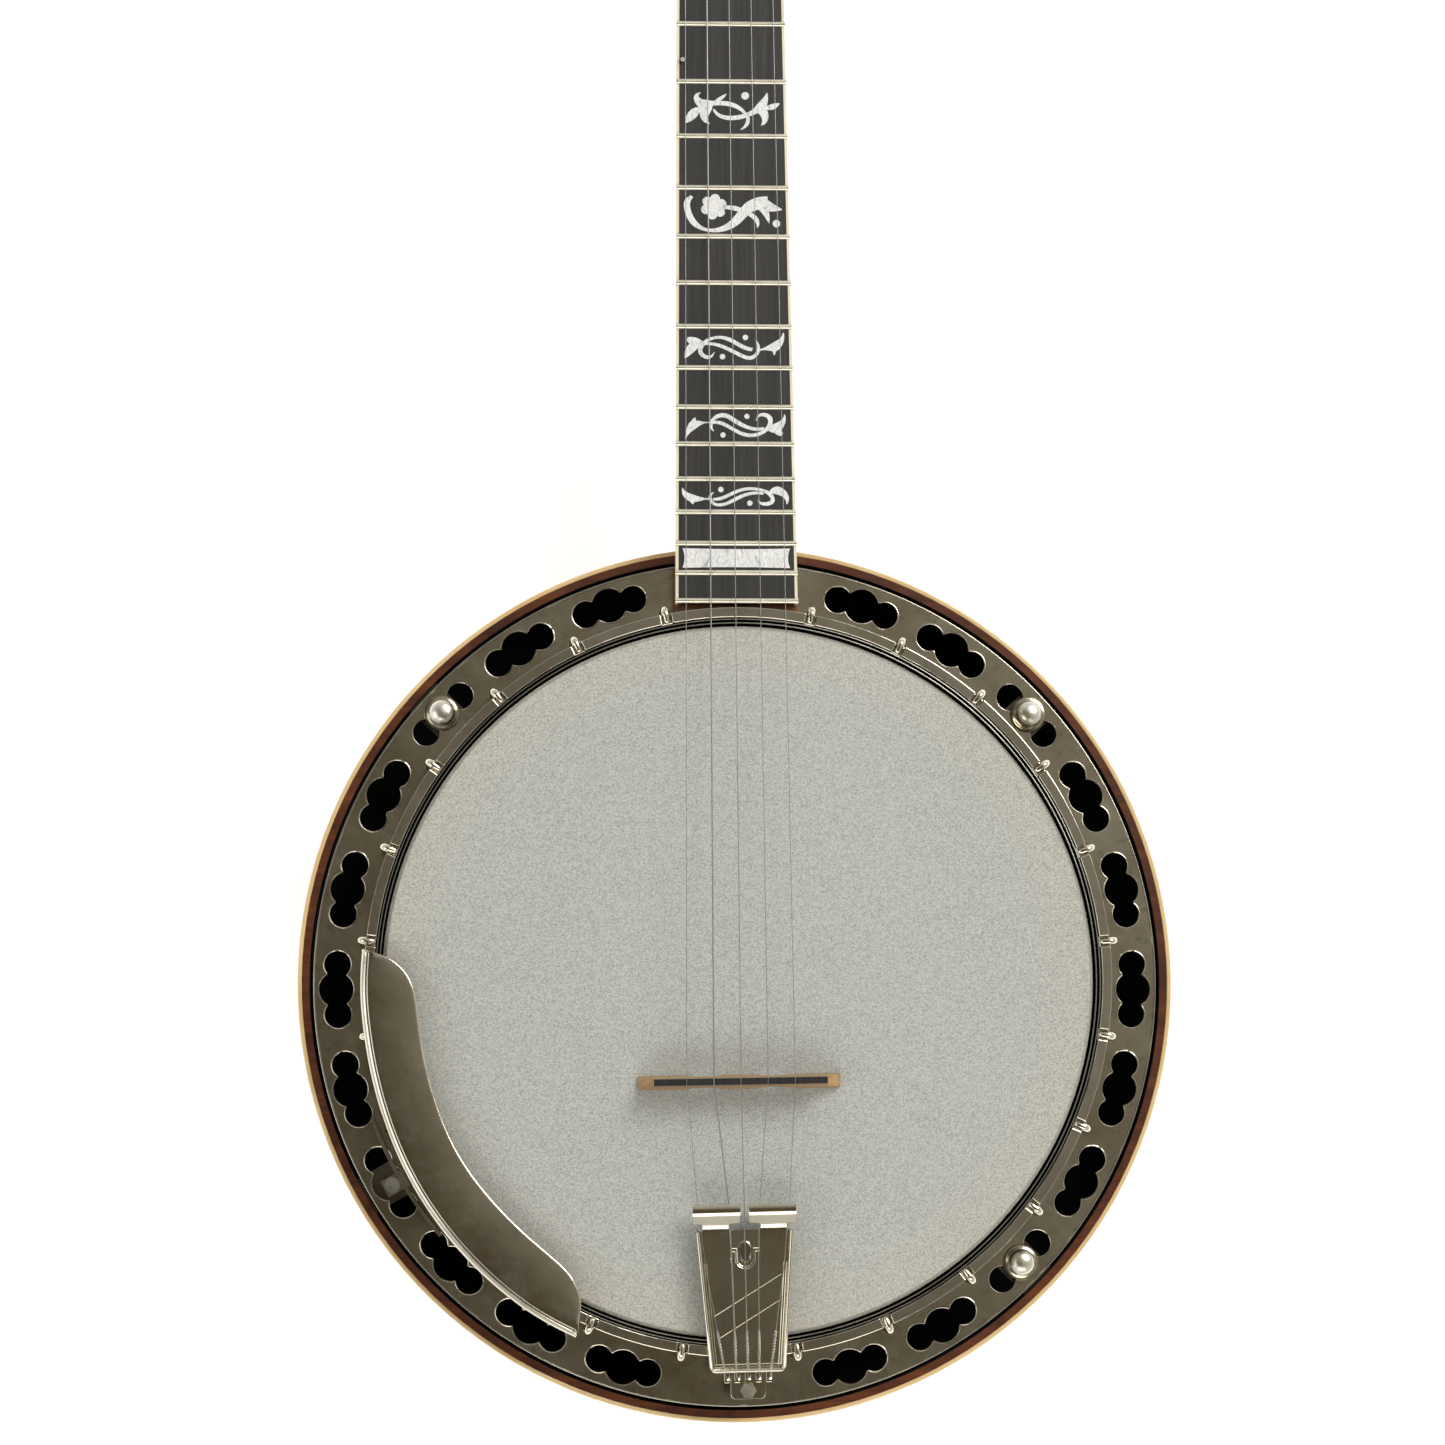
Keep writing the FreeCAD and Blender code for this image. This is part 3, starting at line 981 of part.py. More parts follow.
def make_bridge():
    """A three-footed maple bridge with an ebony cap, turned slightly for intonation."""
    half = size.bridge_length / 2
    tall = size.bridge_height
    cap = size.cap_depth
    cap_half = size.cap_length / 2
    outline = [Vector(-half, 0, 0), Vector(-half + 19, 0, 0), Vector(-half + 22, 0, 5.5),
               Vector(-9.5, 0, 5.5), Vector(-7.5, 0, 0), Vector(7.5, 0, 0), Vector(9.5, 0, 5.5),
               Vector(half - 22, 0, 5.5), Vector(half - 19, 0, 0), Vector(half, 0, 0),
               Vector(half, 0, 2.2), Vector(cap_half, 0, 8.0), Vector(cap_half, 0, tall - cap),
               Vector(-cap_half, 0, tall - cap), Vector(-cap_half, 0, 8.0), Vector(-half, 0, 2.2)]
    slab = Part.Face(Part.makePolygon(outline + outline[:1])).extrude(Vector(0, 10, 0))
    slab.translate(Vector(0, -5, 0))
    foot, top = size.bridge_foot / 2, size.bridge_top / 2
    taper = [Vector(-50, -foot, 0), Vector(-50, foot, 0), Vector(-50, top, tall), Vector(-50, -top, tall)]
    wedge = Part.Face(Part.makePolygon(taper + taper[:1])).extrude(Vector(100, 0, 0))
    wood = slab.common(wedge)
    opening = [Vector(-half + 24, 0, 7), Vector(-9, 0, 7), Vector(-9, 0, 10), Vector(-half + 24, 0, 10)]
    window = Part.Face(Part.makePolygon(opening + opening[:1])).extrude(Vector(0, 10, 0))
    window.translate(Vector(0, -5, 0))
    wood = wood.cut(window).cut(window.mirror(Vector(0, 0, 0), Vector(1, 0, 0)))
    at = Placement(Vector(0, -size.bridge_line, HEAD_FACE), Rotation(Vector(0, 0, 1), size.bridge_turn))
    new_feature("bridge", wood, at)
    lid = Part.makeBox(size.cap_length, 10, cap, Vector(-cap_half, -5, tall - cap)).common(wedge)
    for number in range(1, 6):
        across = (3 - number) * size.string_spread
        lid = lid.cut(cylinder(0.45, Vector(across, -5, tall + 0.2), Vector(across, 5, tall + 0.2)))
    new_feature("bridge_cap", lid, at)


TAIL = Placement(Vector(size.tail_shift, -size.tail_rear, size.tail_floor),
                 Rotation(Vector(0, 0, 1), size.tail_turn).multiply(
                     Rotation(Vector(1, 0, 0), size.tail_pitch)))
HOOK_SPOTS = (-8.2, -4.1, 0.0, 4.1, 8.2)
FRONT_SPOTS = (-18.1, -6.0, 0.0, 6.0, 17.6)
PLATE_TOP = 2.0
PLATE_RUN = 13.0
ROLL_AHEAD = 7.2
ROLL_HEIGHT = 3.2
ROLL_OUTER, ROLL_INNER, ROLL_LENGTH = 3.2, 2.2, 18.8
FINGER_WIDTH, FINGER_MIDDLE, ROLL_MIDDLE = 9.4, 11.6, 11.0
SLOT_ENDS, SLOT_HALF = (45.4, 50.0), 2.0
COVER_SCREW_LINE = 47.7
HANGER_BOLT, HANGER_FOOT, HANGER_REACH, HANGER_NUT = 1.5, 41.0, -147.0, 5.4


def tail_outline(inset):
    rear, front = size.tail_back / 2 - inset, size.tail_front / 2 - inset
    return [(-rear, 0), (rear, 0), (front, size.tail_length), (-front, size.tail_length)]


def make_tailpiece():
    sheet_thick = size.tail_sheet
    floor = prism(tail_outline(0), 0, sheet_thick)
    walls = prism(tail_outline(0), 0, size.tail_wall).cut(
        prism(tail_outline(sheet_thick), sheet_thick, size.tail_wall))
    front_open = Part.makeBox(80, 10, 20, Vector(-40, size.tail_length - sheet_thick - 0.2, sheet_thick))
    walls = walls.cut(front_open)
    rear_low = Part.makeBox(80, sheet_thick + 0.2, 20, Vector(-40, -0.1, sheet_thick + 1.2))
    body = floor.fuse(walls).cut(rear_low).removeSplitter()
    rear_end, front_end = SLOT_ENDS
    slot = fused([Part.makeCylinder(SLOT_HALF, 10, Vector(0, rear_end, -5)),
                  Part.makeCylinder(SLOT_HALF, 10, Vector(0, front_end, -5)),
                  Part.makeBox(2 * SLOT_HALF, front_end - rear_end, 10, Vector(-SLOT_HALF, rear_end, -5))])
    body = body.cut(slot)
    pegs = []
    for across in HOOK_SPOTS:
        peg = Part.makeBox(2.6, 3.8, 1.6, Vector(across - 1.3, -3.6, -0.6))
        pegs.append(peg)
    tongue = Part.makeBox(14, size.hanger_back + 14, 1.4, Vector(-7, -size.hanger_back - 3.4, -1.4))
    body = fused([body] + pegs + [tongue])
    body = body.cut(Part.makeCylinder(1.8, 10, Vector(0, -size.hanger_back, -5)))
    new_feature("tailpiece_frame", body, TAIL)

    # the front plate carries two fingers whose rolled ends press the strings down
    length = size.tail_length
    plate = prism(tail_outline(sheet_thick + 0.3), sheet_thick, PLATE_TOP)
    plate = plate.common(Part.makeBox(80, PLATE_RUN, 10, Vector(-40, length - PLATE_RUN, 0)))
    plate = plate.cut(slot).cut(Part.makeCylinder(2.6, 10, Vector(0, COVER_SCREW_LINE, -1)))
    pieces = [plate]
    for side in (-1, 1):
        edge = side * FINGER_MIDDLE - FINGER_WIDTH / 2
        pieces.append(Part.makeBox(FINGER_WIDTH, ROLL_AHEAD - 1.2, PLATE_TOP - sheet_thick,
                                   Vector(edge, length - 2, sheet_thick)))
        pieces.append(Part.makeBox(FINGER_WIDTH, 1.0, ROLL_HEIGHT + 0.6 - sheet_thick,
                                   Vector(edge, length + ROLL_AHEAD - ROLL_OUTER, sheet_thick)))
        start = Vector(side * ROLL_MIDDLE - ROLL_LENGTH / 2, length + ROLL_AHEAD, ROLL_HEIGHT)
        roll = Part.makeCylinder(ROLL_OUTER, ROLL_LENGTH, start, Vector(1, 0, 0))
        roll = roll.cut(Part.makeCylinder(ROLL_INNER, ROLL_LENGTH, start, Vector(1, 0, 0)))
        pieces.append(roll.common(Part.makeBox(60, 10, 6, Vector(-30, length + 3, ROLL_HEIGHT))))
    new_feature("tailpiece_cover", fused(pieces), TAIL)
    screw = fused([Part.makeCylinder(1.5, 3.6, Vector(0, COVER_SCREW_LINE, -3.4)),
                   Part.makeCylinder(2.4, 1.0, Vector(0, COVER_SCREW_LINE, sheet_thick)),
                   Part.makeCylinder(1.5, 3.0, Vector(0, COVER_SCREW_LINE, -1.0))])
    new_feature("tailpiece_screws", screw, TAIL)

    bolt_at = TAIL.multVec(Vector(0, -size.hanger_back, 0))
    foot = Vector(bolt_at.x, bolt_at.y, HANGER_FOOT)
    bolt = cylinder(HANGER_BOLT, foot - Vector(0, 0, 1), Vector(bolt_at.x, bolt_at.y, bolt_at.z + 3.6))
    arm = cylinder(HANGER_BOLT, foot, Vector(bolt_at.x, HANGER_REACH, HANGER_FOOT))
    beside = Placement(Vector(bolt_at.x, bolt_at.y, 0), Rotation())
    nut_low = hexagon(HANGER_NUT, size.flange_under - 3.2, size.flange_under, HANGER_BOLT)
    nut_low = placed(nut_low, beside)
    nut_high = hexagon(HANGER_NUT, bolt_at.z + 0.25, bolt_at.z + 2.9, HANGER_BOLT)
    nut_high = placed(nut_high, beside)
    new_feature("tailpiece_hanger", group([fused([bolt, arm]), nut_low, nut_high]))


def wire_shape(points, radius):
    """One wire through its points: straight runs with a round joint at each bend."""
    parts = [cylinder(radius, a, b) for a, b in zip(points, points[1:])]
    parts += [Part.makeSphere(radius, point) for point in points[1:-1]]
    return fused(parts)


def make_strings():
    bridge_at = Placement(Vector(0, -size.bridge_line, HEAD_FACE),
                          Rotation(Vector(0, 0, 1), size.bridge_turn))
    for number in range(1, 6):
        radius = STRING_RADII[number]
        column = 5 - number
        start = TAIL.multVec(Vector(HOOK_SPOTS[column], -2.4, 1.05 + radius))
        lip = TAIL.multVec(Vector(HOOK_SPOTS[column] * 1.1, 0.8, 2.7 + radius))
        run_in = TAIL.multVec(Vector(FRONT_SPOTS[column] * 0.86, size.tail_length - PLATE_RUN,
                                     PLATE_TOP + 0.15 + radius))
        press = TAIL.multVec(Vector(FRONT_SPOTS[column], size.tail_length + ROLL_AHEAD + 2.6,
                                    ROLL_HEIGHT - 0.05 - radius))
        across = (3 - number) * size.string_spread
        saddle = bridge_at.multVec(Vector(across, 0, size.bridge_height + radius))
        points = [start, lip, run_in, press, saddle]
        if number < 5:
            across = size.nut_shift + (2.5 - number) * size.nut_spread
            points.append(NECK.multVec(Vector(across, size.nut_width / 2, size.nut_rise + radius + 0.05)))
            side, along = {1: (1, size.peg_low), 2: (1, size.peg_high), 3: (-1, size.peg_high),
                           4: (-1, size.peg_low)}[number]
            inner = side * size.peg_spread - side * (2.6 + radius)
            points.append(PEGHEAD.multVec(Vector(inner, along, 12.4)))
            loop = Part.makeTorus(2.62 + radius, radius, Vector(side * size.peg_spread, along, 12.4))
            loop = placed(loop, PEGHEAD)
        else:
            points.append(NECK.multVec(Vector(FIFTH_PIP[0] - 0.3, FIFTH_PIP[1] + 1.15, 1.38 + radius)))
            spool_across = -left_edge(FIFTH_PEG) - FIFTH_GAP - 6.0
            points.append(NECK.multVec(Vector(spool_across, -FIFTH_PEG, FIFTH_HEIGHT + 2.08 + radius)))
            spool_middle = Vector(spool_across, -FIFTH_PEG, FIFTH_HEIGHT)
            loop = Part.makeTorus(2.08 + radius, radius, spool_middle, Vector(1, 0, 0))
            loop = placed(loop, NECK)
        new_feature(f"string_{number}", fused([wire_shape(points, radius), loop]))


# ---------------------------------------------------------------- armrest


def armrest_outline():
    """Seen from the front: square at the outer rim, both inner corners rounded."""
    upper, lower = Vector(-143.2, 11.9, 0), Vector(-62.0, -133.0, 0)
    inner_upper, inner_lower = Vector(-125.6, -7.0, 0), Vector(-68.4, -110.6, 0)
    far = 175.0
    beyond = inner_lower + Vector(20, 30, 0)
    left_upper, left_lower, under = Vector(-far, 12.4, 0), Vector(-far, -far, 0), Vector(-66.5, -far, 0)
    edges = [Part.LineSegment(left_upper, upper),
             Part.Arc(upper, Vector(-131.6, 6.6, 0), inner_upper),
             Part.LineSegment(inner_upper, beyond),
             Part.LineSegment(beyond, inner_lower),
             Part.Arc(inner_lower, Vector(-62.4, -120.6, 0), lower),
             Part.LineSegment(lower, under),
             Part.LineSegment(under, left_lower),
             Part.LineSegment(left_lower, left_upper)]
    wire = Part.Wire([edge.toShape() for edge in edges])
    return Part.Face(wire).extrude(Vector(0, 0, 200))


CLAMP_ANGLE = 120.5
CLAMP_SWEEP = 10
CLAMP_SHEET, CLAMP_ARM = 1.4, 7
CLAMP_BAND, CLAMP_GRIP = 152.2, 146.8
CLAMP_FOOT, CLAMP_LOW, CLAMP_HIGH = 77.6, 79.0, 90.2
CLAMP_SCREW, CLAMP_SCREW_AT = 1.6, 157.0


def make_armrest():
    """A polished sheet over the hoop: nearly flat top, outer edge rolled down, one clamp."""
    top, thick = size.rest_top, size.rest_sheet
    inner, outer = size.rest_inner, size.rest_outer
    section = [(inner, top - 1.6), (inner + 7, top - 0.3), (outer - 4.4, top), (outer - 1.4, top - 1.2),
               (outer, top - 4.6), (outer - thick, top - 4.6), (outer - 2.2, top - 1.9),
               (outer - 4.8, top - thick),
               (inner + 7, top - thick - 0.3), (inner, top - 1.6 - thick)]
    shell = turned_solid(section)
    shell.translate(Vector(size.rest_shift, -size.rest_drop, 0))
    shell = shell.common(armrest_outline())
    new_feature("armrest", max(shell.Solids, key=lambda solid: solid.Volume))
    band = ring(CLAMP_BAND, CLAMP_BAND + CLAMP_SHEET, CLAMP_LOW, CLAMP_HIGH)
    sides = [tuple(polar(CLAMP_ANGLE + side * CLAMP_SWEEP, 260))[:2] for side in (-1, 1)]
    strap = band.common(prism([(0, 0)] + sides, 0, 200))
    arm = Part.makeBox(CLAMP_ARM, 14, CLAMP_SHEET, Vector(-CLAMP_ARM / 2, size.hoop_outer, CLAMP_FOOT))
    arm = placed(arm, turn_to(CLAMP_ANGLE))
    post = Part.makeBox(CLAMP_ARM, CLAMP_SHEET, 12.0, Vector(-CLAMP_ARM / 2, CLAMP_BAND, CLAMP_LOW))
    post = placed(post, turn_to(CLAMP_ANGLE))
    clamp = fused([strap, arm.cut(Part.makeCylinder(CLAMP_GRIP, 200)), post])
    hole = cylinder(CLAMP_SCREW, Vector(0, CLAMP_SCREW_AT, 70.0), Vector(0, CLAMP_SCREW_AT, CLAMP_LOW))
    clamp = clamp.cut(placed(hole, turn_to(CLAMP_ANGLE)))
    new_feature("armrest_clamps", clamp)


def make_fasteners(extra):
    screws, wall_screws = extra
    moved = [placed(shape, PEGHEAD) for shape in screws]
    new_feature("wood_screws", group(wall_screws + moved))
    shank = cylinder(CLAMP_SCREW, Vector(0, CLAMP_SCREW_AT, 70.0), Vector(0, CLAMP_SCREW_AT, CLAMP_LOW))
    head = cylinder(3.0, Vector(0, CLAMP_SCREW_AT, CLAMP_LOW), Vector(0, CLAMP_SCREW_AT, 81.0))
    new_feature("armrest_screws", placed(shank.fuse(head).removeSplitter(), turn_to(CLAMP_ANGLE)))


def check_and_write():
    document.recompute()
    for item in document.Objects:
        bad = [state for state in item.State if state in ("Invalid", "Error")]
        assert not bad, f"{item.Label}: {bad}"
    os.makedirs("parts", exist_ok=True)
    for item in SUBPARTS:
        shape = item.Shape
        assert not shape.isNull() and shape.isValid(), f"{item.Label}: bad shape"
        assert shape.Solids, f"{item.Label}: no solid"
        shape.exportStep(f"parts/{item.Label}.step")
    print(len(SUBPARTS), "sub-parts")


make_rim()
make_tone_ring()
make_head()
make_hoops()
make_hooks()
make_flange()
wall_screws = make_resonator()
make_thumbscrews()
make_rods()
make_neck()
make_fingerboard()
make_nut()
cover_screws = make_peghead()
make_tuners()
make_fifth_tuner()
make_bridge()
make_tailpiece()
make_strings()
make_armrest()
make_fasteners((cover_screws, wall_screws))
check_and_write()
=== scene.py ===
import math

import bpy
from mathutils import Matrix, Vector


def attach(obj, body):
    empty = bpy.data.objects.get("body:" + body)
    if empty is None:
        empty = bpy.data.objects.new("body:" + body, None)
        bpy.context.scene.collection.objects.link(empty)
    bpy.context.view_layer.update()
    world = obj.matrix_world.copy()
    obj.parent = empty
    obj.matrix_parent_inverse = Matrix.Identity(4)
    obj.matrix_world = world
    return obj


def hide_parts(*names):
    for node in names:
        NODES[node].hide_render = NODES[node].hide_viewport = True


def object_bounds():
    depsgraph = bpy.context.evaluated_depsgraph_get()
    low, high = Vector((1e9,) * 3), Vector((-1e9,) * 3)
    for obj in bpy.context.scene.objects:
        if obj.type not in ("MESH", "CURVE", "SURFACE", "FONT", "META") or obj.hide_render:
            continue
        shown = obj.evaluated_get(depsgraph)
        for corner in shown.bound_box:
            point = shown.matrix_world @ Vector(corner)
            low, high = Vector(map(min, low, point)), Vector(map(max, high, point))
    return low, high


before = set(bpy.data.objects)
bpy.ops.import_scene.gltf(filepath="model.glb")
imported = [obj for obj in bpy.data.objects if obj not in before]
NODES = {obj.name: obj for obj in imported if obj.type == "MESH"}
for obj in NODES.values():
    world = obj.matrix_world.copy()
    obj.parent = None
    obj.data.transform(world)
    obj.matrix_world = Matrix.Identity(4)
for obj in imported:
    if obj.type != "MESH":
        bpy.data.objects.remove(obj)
CAD_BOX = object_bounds()
MM = 0.001


# ---------------------------------------------------------------- material helpers


class Shader:
    """A node tree round one Principled shader, with textures laid out in object space."""

    def __init__(self, name, **constants):
        self.material = bpy.data.materials.new(name)
        self.material.use_nodes = True
        self.tree = self.material.node_tree
        self.shader = self.tree.nodes["Principled BSDF"]
        for socket, amount in constants.items():
            self.shader.inputs[socket.replace("_", " ")].default_value = amount
        self.place = self.add("ShaderNodeTexCoord").outputs["Object"]

    def add(self, kind, **links):
        node = self.tree.nodes.new(kind)
        for name, source in links.items():
            socket = node.inputs[name.replace("_", " ")]
            if isinstance(source, bpy.types.NodeSocket):
                self.tree.links.new(source, socket)
            else:
                socket.default_value = source
        return node

    def scaled(self, across, along, up):
        node = self.add("ShaderNodeMapping", Vector=self.place)
        node.inputs["Scale"].default_value = (across, along, up)
        return node.outputs["Vector"]

    def noise(self, scale, detail=3.0, roughness=0.55, where=None, distortion=0.0):
        node = self.add("ShaderNodeTexNoise", Vector=where or self.place, Scale=scale, Detail=detail,
                        Roughness=roughness, Distortion=distortion)
        return node.outputs["Fac"]

    def cells(self, scale):
        node = self.add("ShaderNodeTexVoronoi", Vector=self.place, Scale=scale)
        return node.outputs["Distance"]

    def ramp(self, source, stops):
        node = self.add("ShaderNodeValToRGB", Fac=source)
        elements = node.color_ramp.elements
        while len(elements) < len(stops):
            elements.new(0.5)
        for element, (position, colour) in zip(elements, stops):
            element.position = position
            element.color = (*colour, 1.0)
        return node.outputs["Color"]

    def spread(self, source, low, high, start=0.0, end=1.0):
        node = self.add("ShaderNodeMapRange", Value=source)
        for name, amount in (("From Min", start), ("From Max", end), ("To Min", low), ("To Max", high)):
            node.inputs[name].default_value = amount
        return node.outputs["Result"]

    def maths(self, operation, first, second=0.0):
        node = self.add("ShaderNodeMath")
        node.operation = operation
        for socket, source in zip(node.inputs, (first, second)):
            if isinstance(source, bpy.types.NodeSocket):
                self.tree.links.new(source, socket)
            else:
                socket.default_value = source
        return node.outputs[0]

    def mix(self, factor, first, second, mode="MIX"):
        node = self.tree.nodes.new("ShaderNodeMix")
        node.data_type = "RGBA"
        node.blend_type = mode
        for index, source in ((0, factor), (6, first), (7, second)):
            if isinstance(source, bpy.types.NodeSocket):
                self.tree.links.new(source, node.inputs[index])
            elif index == 0:
                node.inputs[index].default_value = source
            else:
                node.inputs[index].default_value = (*source, 1.0)
        return node.outputs[2]

    def radius(self):
        """Distance from the pot's axis, in metres."""
        flat = self.add("ShaderNodeVectorMath", Vector=self.place)
        flat.operation = "MULTIPLY"
        flat.inputs[1].default_value = (1, 1, 0)
        length = self.tree.nodes.new("ShaderNodeVectorMath")
        length.operation = "LENGTH"
        self.tree.links.new(flat.outputs[0], length.inputs[0])
        return length.outputs["Value"]

    def inward_faces(self, kind):
        """1 on the faces that only the inside of the body sees: unfinished, and painted near black as shade.
        """
        normal = self.add("ShaderNodeTexCoord").outputs["Normal"]
        toward = self.tree.nodes.new("ShaderNodeVectorMath")
        toward.operation = "DOT_PRODUCT"
        self.tree.links.new(normal, toward.inputs[0])
        if kind == "floor":
            toward.inputs[1].default_value = (0.0, 0.0, 1.0)
            return self.spread(toward.outputs["Value"], 0.0, 1.0, 0.15, 0.25)
        self.tree.links.new(self.place, toward.inputs[1])
        return self.spread(toward.outputs["Value"], 1.0, 0.0, -0.10, -0.04)

    def set(self, name, source):
        self.tree.links.new(source, self.shader.inputs[name])

    def bump(self, height, distance, strength=1.0):
        node = self.add("ShaderNodeBump", Height=height)
        node.inputs["Distance"].default_value = distance
        node.inputs["Strength"].default_value = strength
        self.tree.links.new(node.outputs["Normal"], self.shader.inputs["Normal"])


def plated(name, light, dark, smooth, dull, marks=0.35, relief=0.5, shade_inside=0.0):
    """Nickel plate: cloudy tarnish, hairline scratches, small pits; shade_inside adds painted shade inside
    that radius.
    """
    s = Shader(name, Metallic=1.0)
    clouds = s.noise(38.0, 5.0, 0.62)
    pits = s.spread(s.cells(420.0), 1.0, 0.0, 0.02, 0.12)
    colour = s.ramp(clouds, [(0.30, dark), (0.68, light)])
    stain = s.maths("MULTIPLY", s.spread(s.noise(210.0, 4.0, 0.7), 0.0, 1.0, 0.56, 0.72), marks)
    colour = s.mix(stain, colour, tuple(0.45 * c for c in dark))
    if shade_inside:
        # painted shade: inside this radius the plate is painted near black, standing in for the shadow in the
        # crevice between the hoop and the head
        crevice_shade = s.spread(s.radius(), 1.0, 0.0, shade_inside, shade_inside + 0.0001)
        colour = s.mix(crevice_shade, colour, (0.01, 0.01, 0.009))
    s.set("Base Color", colour)
    s.set("Roughness", s.spread(s.noise(95.0, 6.0, 0.66), smooth, dull, 0.32, 0.70))
    hair = s.noise(60.0, 8.0, 0.8, s.scaled(9.0, 1.0, 1.0))
    wear = s.maths("ADD", s.maths("MULTIPLY", hair, 0.6), s.maths("MULTIPLY", pits, -0.5))
    s.bump(wear, 0.00004, relief)
    return s.material


def wood(name, dark, middle, light, along, gloss, coat, figure=0.0, rough=0.32, inside=None):
    """Grain stretched along one axis, pores, and curly figure across it under lacquer.

    inside is "wall" or "floor" where the faces inside the body are unfinished (rough, uncoated) and painted
    near black as shade.
    """
    s = Shader(name, Coat_Weight=coat, Coat_Roughness=gloss, Roughness=rough)
    stretch = [30.0, 30.0, 30.0]
    stretch[along] = 1.6
    grain = s.noise(5.0, 9.0, 0.68, s.scaled(*stretch), 0.6)
    fine = [900.0, 900.0, 900.0]
    fine[along] = 22.0
    pores = s.noise(1.0, 2.0, 0.5, s.scaled(*fine))
    colour = s.ramp(grain, [(0.30, dark), (0.50, middle), (0.72, light)])
    if figure:
        bands = [7.0, 7.0, 7.0]
        bands[along] = 95.0
        curl = s.noise(1.0, 2.0, 0.5, s.scaled(*bands), 0.8)
        colour = s.mix(s.maths("MULTIPLY", s.spread(curl, 0.0, 1.0, 0.38, 0.66), figure), colour, light)
    shade = s.spread(pores, 0.0, 0.55, 0.60, 0.74)
    colour = s.mix(shade, colour, tuple(0.35 * c for c in dark))
    if inside:
        # painted shade: the inner faces are painted near black for the shadow inside the body; rough and
        # uncoated as unfinished wood
        inside_shade = s.inward_faces(inside)
        colour = s.mix(inside_shade, colour, (0.004, 0.0035, 0.003))
        s.set("Roughness", s.spread(inside_shade, rough, 0.95))
        s.set("Coat Weight", s.spread(inside_shade, coat, 0.0))
    s.set("Base Color", colour)
    s.bump(pores, 0.00004, 0.25)
    return s.material


# ---------------------------------------------------------------- materials

NICKEL = plated("nickel", (0.76, 0.71, 0.60), (0.68, 0.63, 0.51), 0.09, 0.17, 0.12)
HOOP_LINES = plated("hoop_lines", (0.34, 0.33, 0.29), (0.22, 0.21, 0.18), 0.24, 0.34, 0.2)
# shade_inside paints this nickel near black inside that radius, as painted shade for the hoop's crevice
HOOP_NICKEL = plated("hoop_nickel", (0.60, 0.56, 0.47), (0.46, 0.42, 0.34), 0.12, 0.24, 0.25,
                     shade_inside=0.14245)
AGED_NICKEL = plated("aged_nickel", (0.60, 0.555, 0.45), (0.40, 0.345, 0.25), 0.10, 0.24, 0.4)
EDGE_NICKEL = plated("edge_nickel", (0.56, 0.53, 0.45), (0.44, 0.41, 0.34), 0.18, 0.28, 0.2)
REST_NICKEL = plated("rest_nickel", (0.74, 0.695, 0.58), (0.58, 0.53, 0.43), 0.10, 0.22, 0.25)
LUG_METAL = plated("lug_metal", (0.24, 0.22, 0.17), (0.13, 0.115, 0.085), 0.25, 0.4, 0.3)
TUNER_NICKEL = plated("tuner_nickel", (0.72, 0.70, 0.66), (0.58, 0.56, 0.52), 0.12, 0.26)
STEEL = plated("bright_steel", (0.66, 0.66, 0.65), (0.50, 0.50, 0.49), 0.22, 0.40)
FRET_METAL = plated("fret_metal", (0.97, 0.93, 0.80), (0.86, 0.81, 0.66), 0.24, 0.36, 0.08)
STRING_METAL = plated("string_metal", (0.36, 0.36, 0.35), (0.32, 0.32, 0.31), 0.30, 0.36, 0.03, relief=0.0)
TWIST_STEEL = plated("twist_steel", (0.90, 0.90, 0.88), (0.80, 0.80, 0.78), 0.22, 0.30, 0.05, relief=0.0)
THUMB_NICKEL = plated("thumb_nickel", (0.86, 0.83, 0.74), (0.70, 0.66, 0.56), 0.24, 0.40, 0.35)

MAPLE_PLIES = wood("rim_maple", (0.030, 0.014, 0.007), (0.055, 0.026, 0.012), (0.085, 0.042, 0.02),
                   0, 0.2, 0.3)
# inside= paints the faces inside the body near black as painted shade
RESONATOR_WOOD = wood("resonator_wood", (0.022, 0.005, 0.0015), (0.075, 0.018, 0.005), (0.16, 0.045, 0.013),
                      0, 0.08, 0.3, 0.35, inside="wall")
BACK_WOOD = wood("resonator_back_wood", (0.13, 0.030, 0.010), (0.25, 0.075, 0.022), (0.42, 0.15, 0.045),
                 1, 0.05, 1.0, 0.6, inside="floor")
NECK_WOOD = wood("neck_wood", (0.13, 0.034, 0.012), (0.23, 0.072, 0.024), (0.36, 0.13, 0.045),
                 1, 0.08, 0.9, 0.45)
BRIDGE_MAPLE = wood("bridge_maple", (0.27, 0.15, 0.06), (0.42, 0.26, 0.12), (0.54, 0.36, 0.18), 0, 0.3, 0.1,
                    rough=0.5)


def head_film():
    """Frosted mylar: fine sprayed grain, greyer in the middle and creamier by the hoop."""
    s = Shader("head_film", Roughness=0.62, IOR=1.45)
    fine = s.noise(2100.0, 2.0, 0.7)
    coarse = s.noise(1150.0, 2.0, 0.6)
    grain = s.maths("ADD", s.maths("MULTIPLY", fine, 0.7), s.maths("MULTIPLY", coarse, 0.3))
    blotch = s.noise(9.0, 3.0, 0.5)
    base = s.ramp(s.radius(), [(0.090, (0.535, 0.552, 0.520)), (0.122, (0.545, 0.548, 0.502)),
                               (0.137, (0.58, 0.55, 0.475))])
    speck = s.mix(s.spread(grain, 0.0, 1.0, 0.44, 0.60), base, (0.295, 0.30, 0.285))
    s.set("Base Color", s.mix(s.spread(blotch, 0.0, 0.08, 0.4, 0.7), speck, (0.55, 0.55, 0.52)))
    s.bump(grain, 0.00005, 0.5)
    return s.material


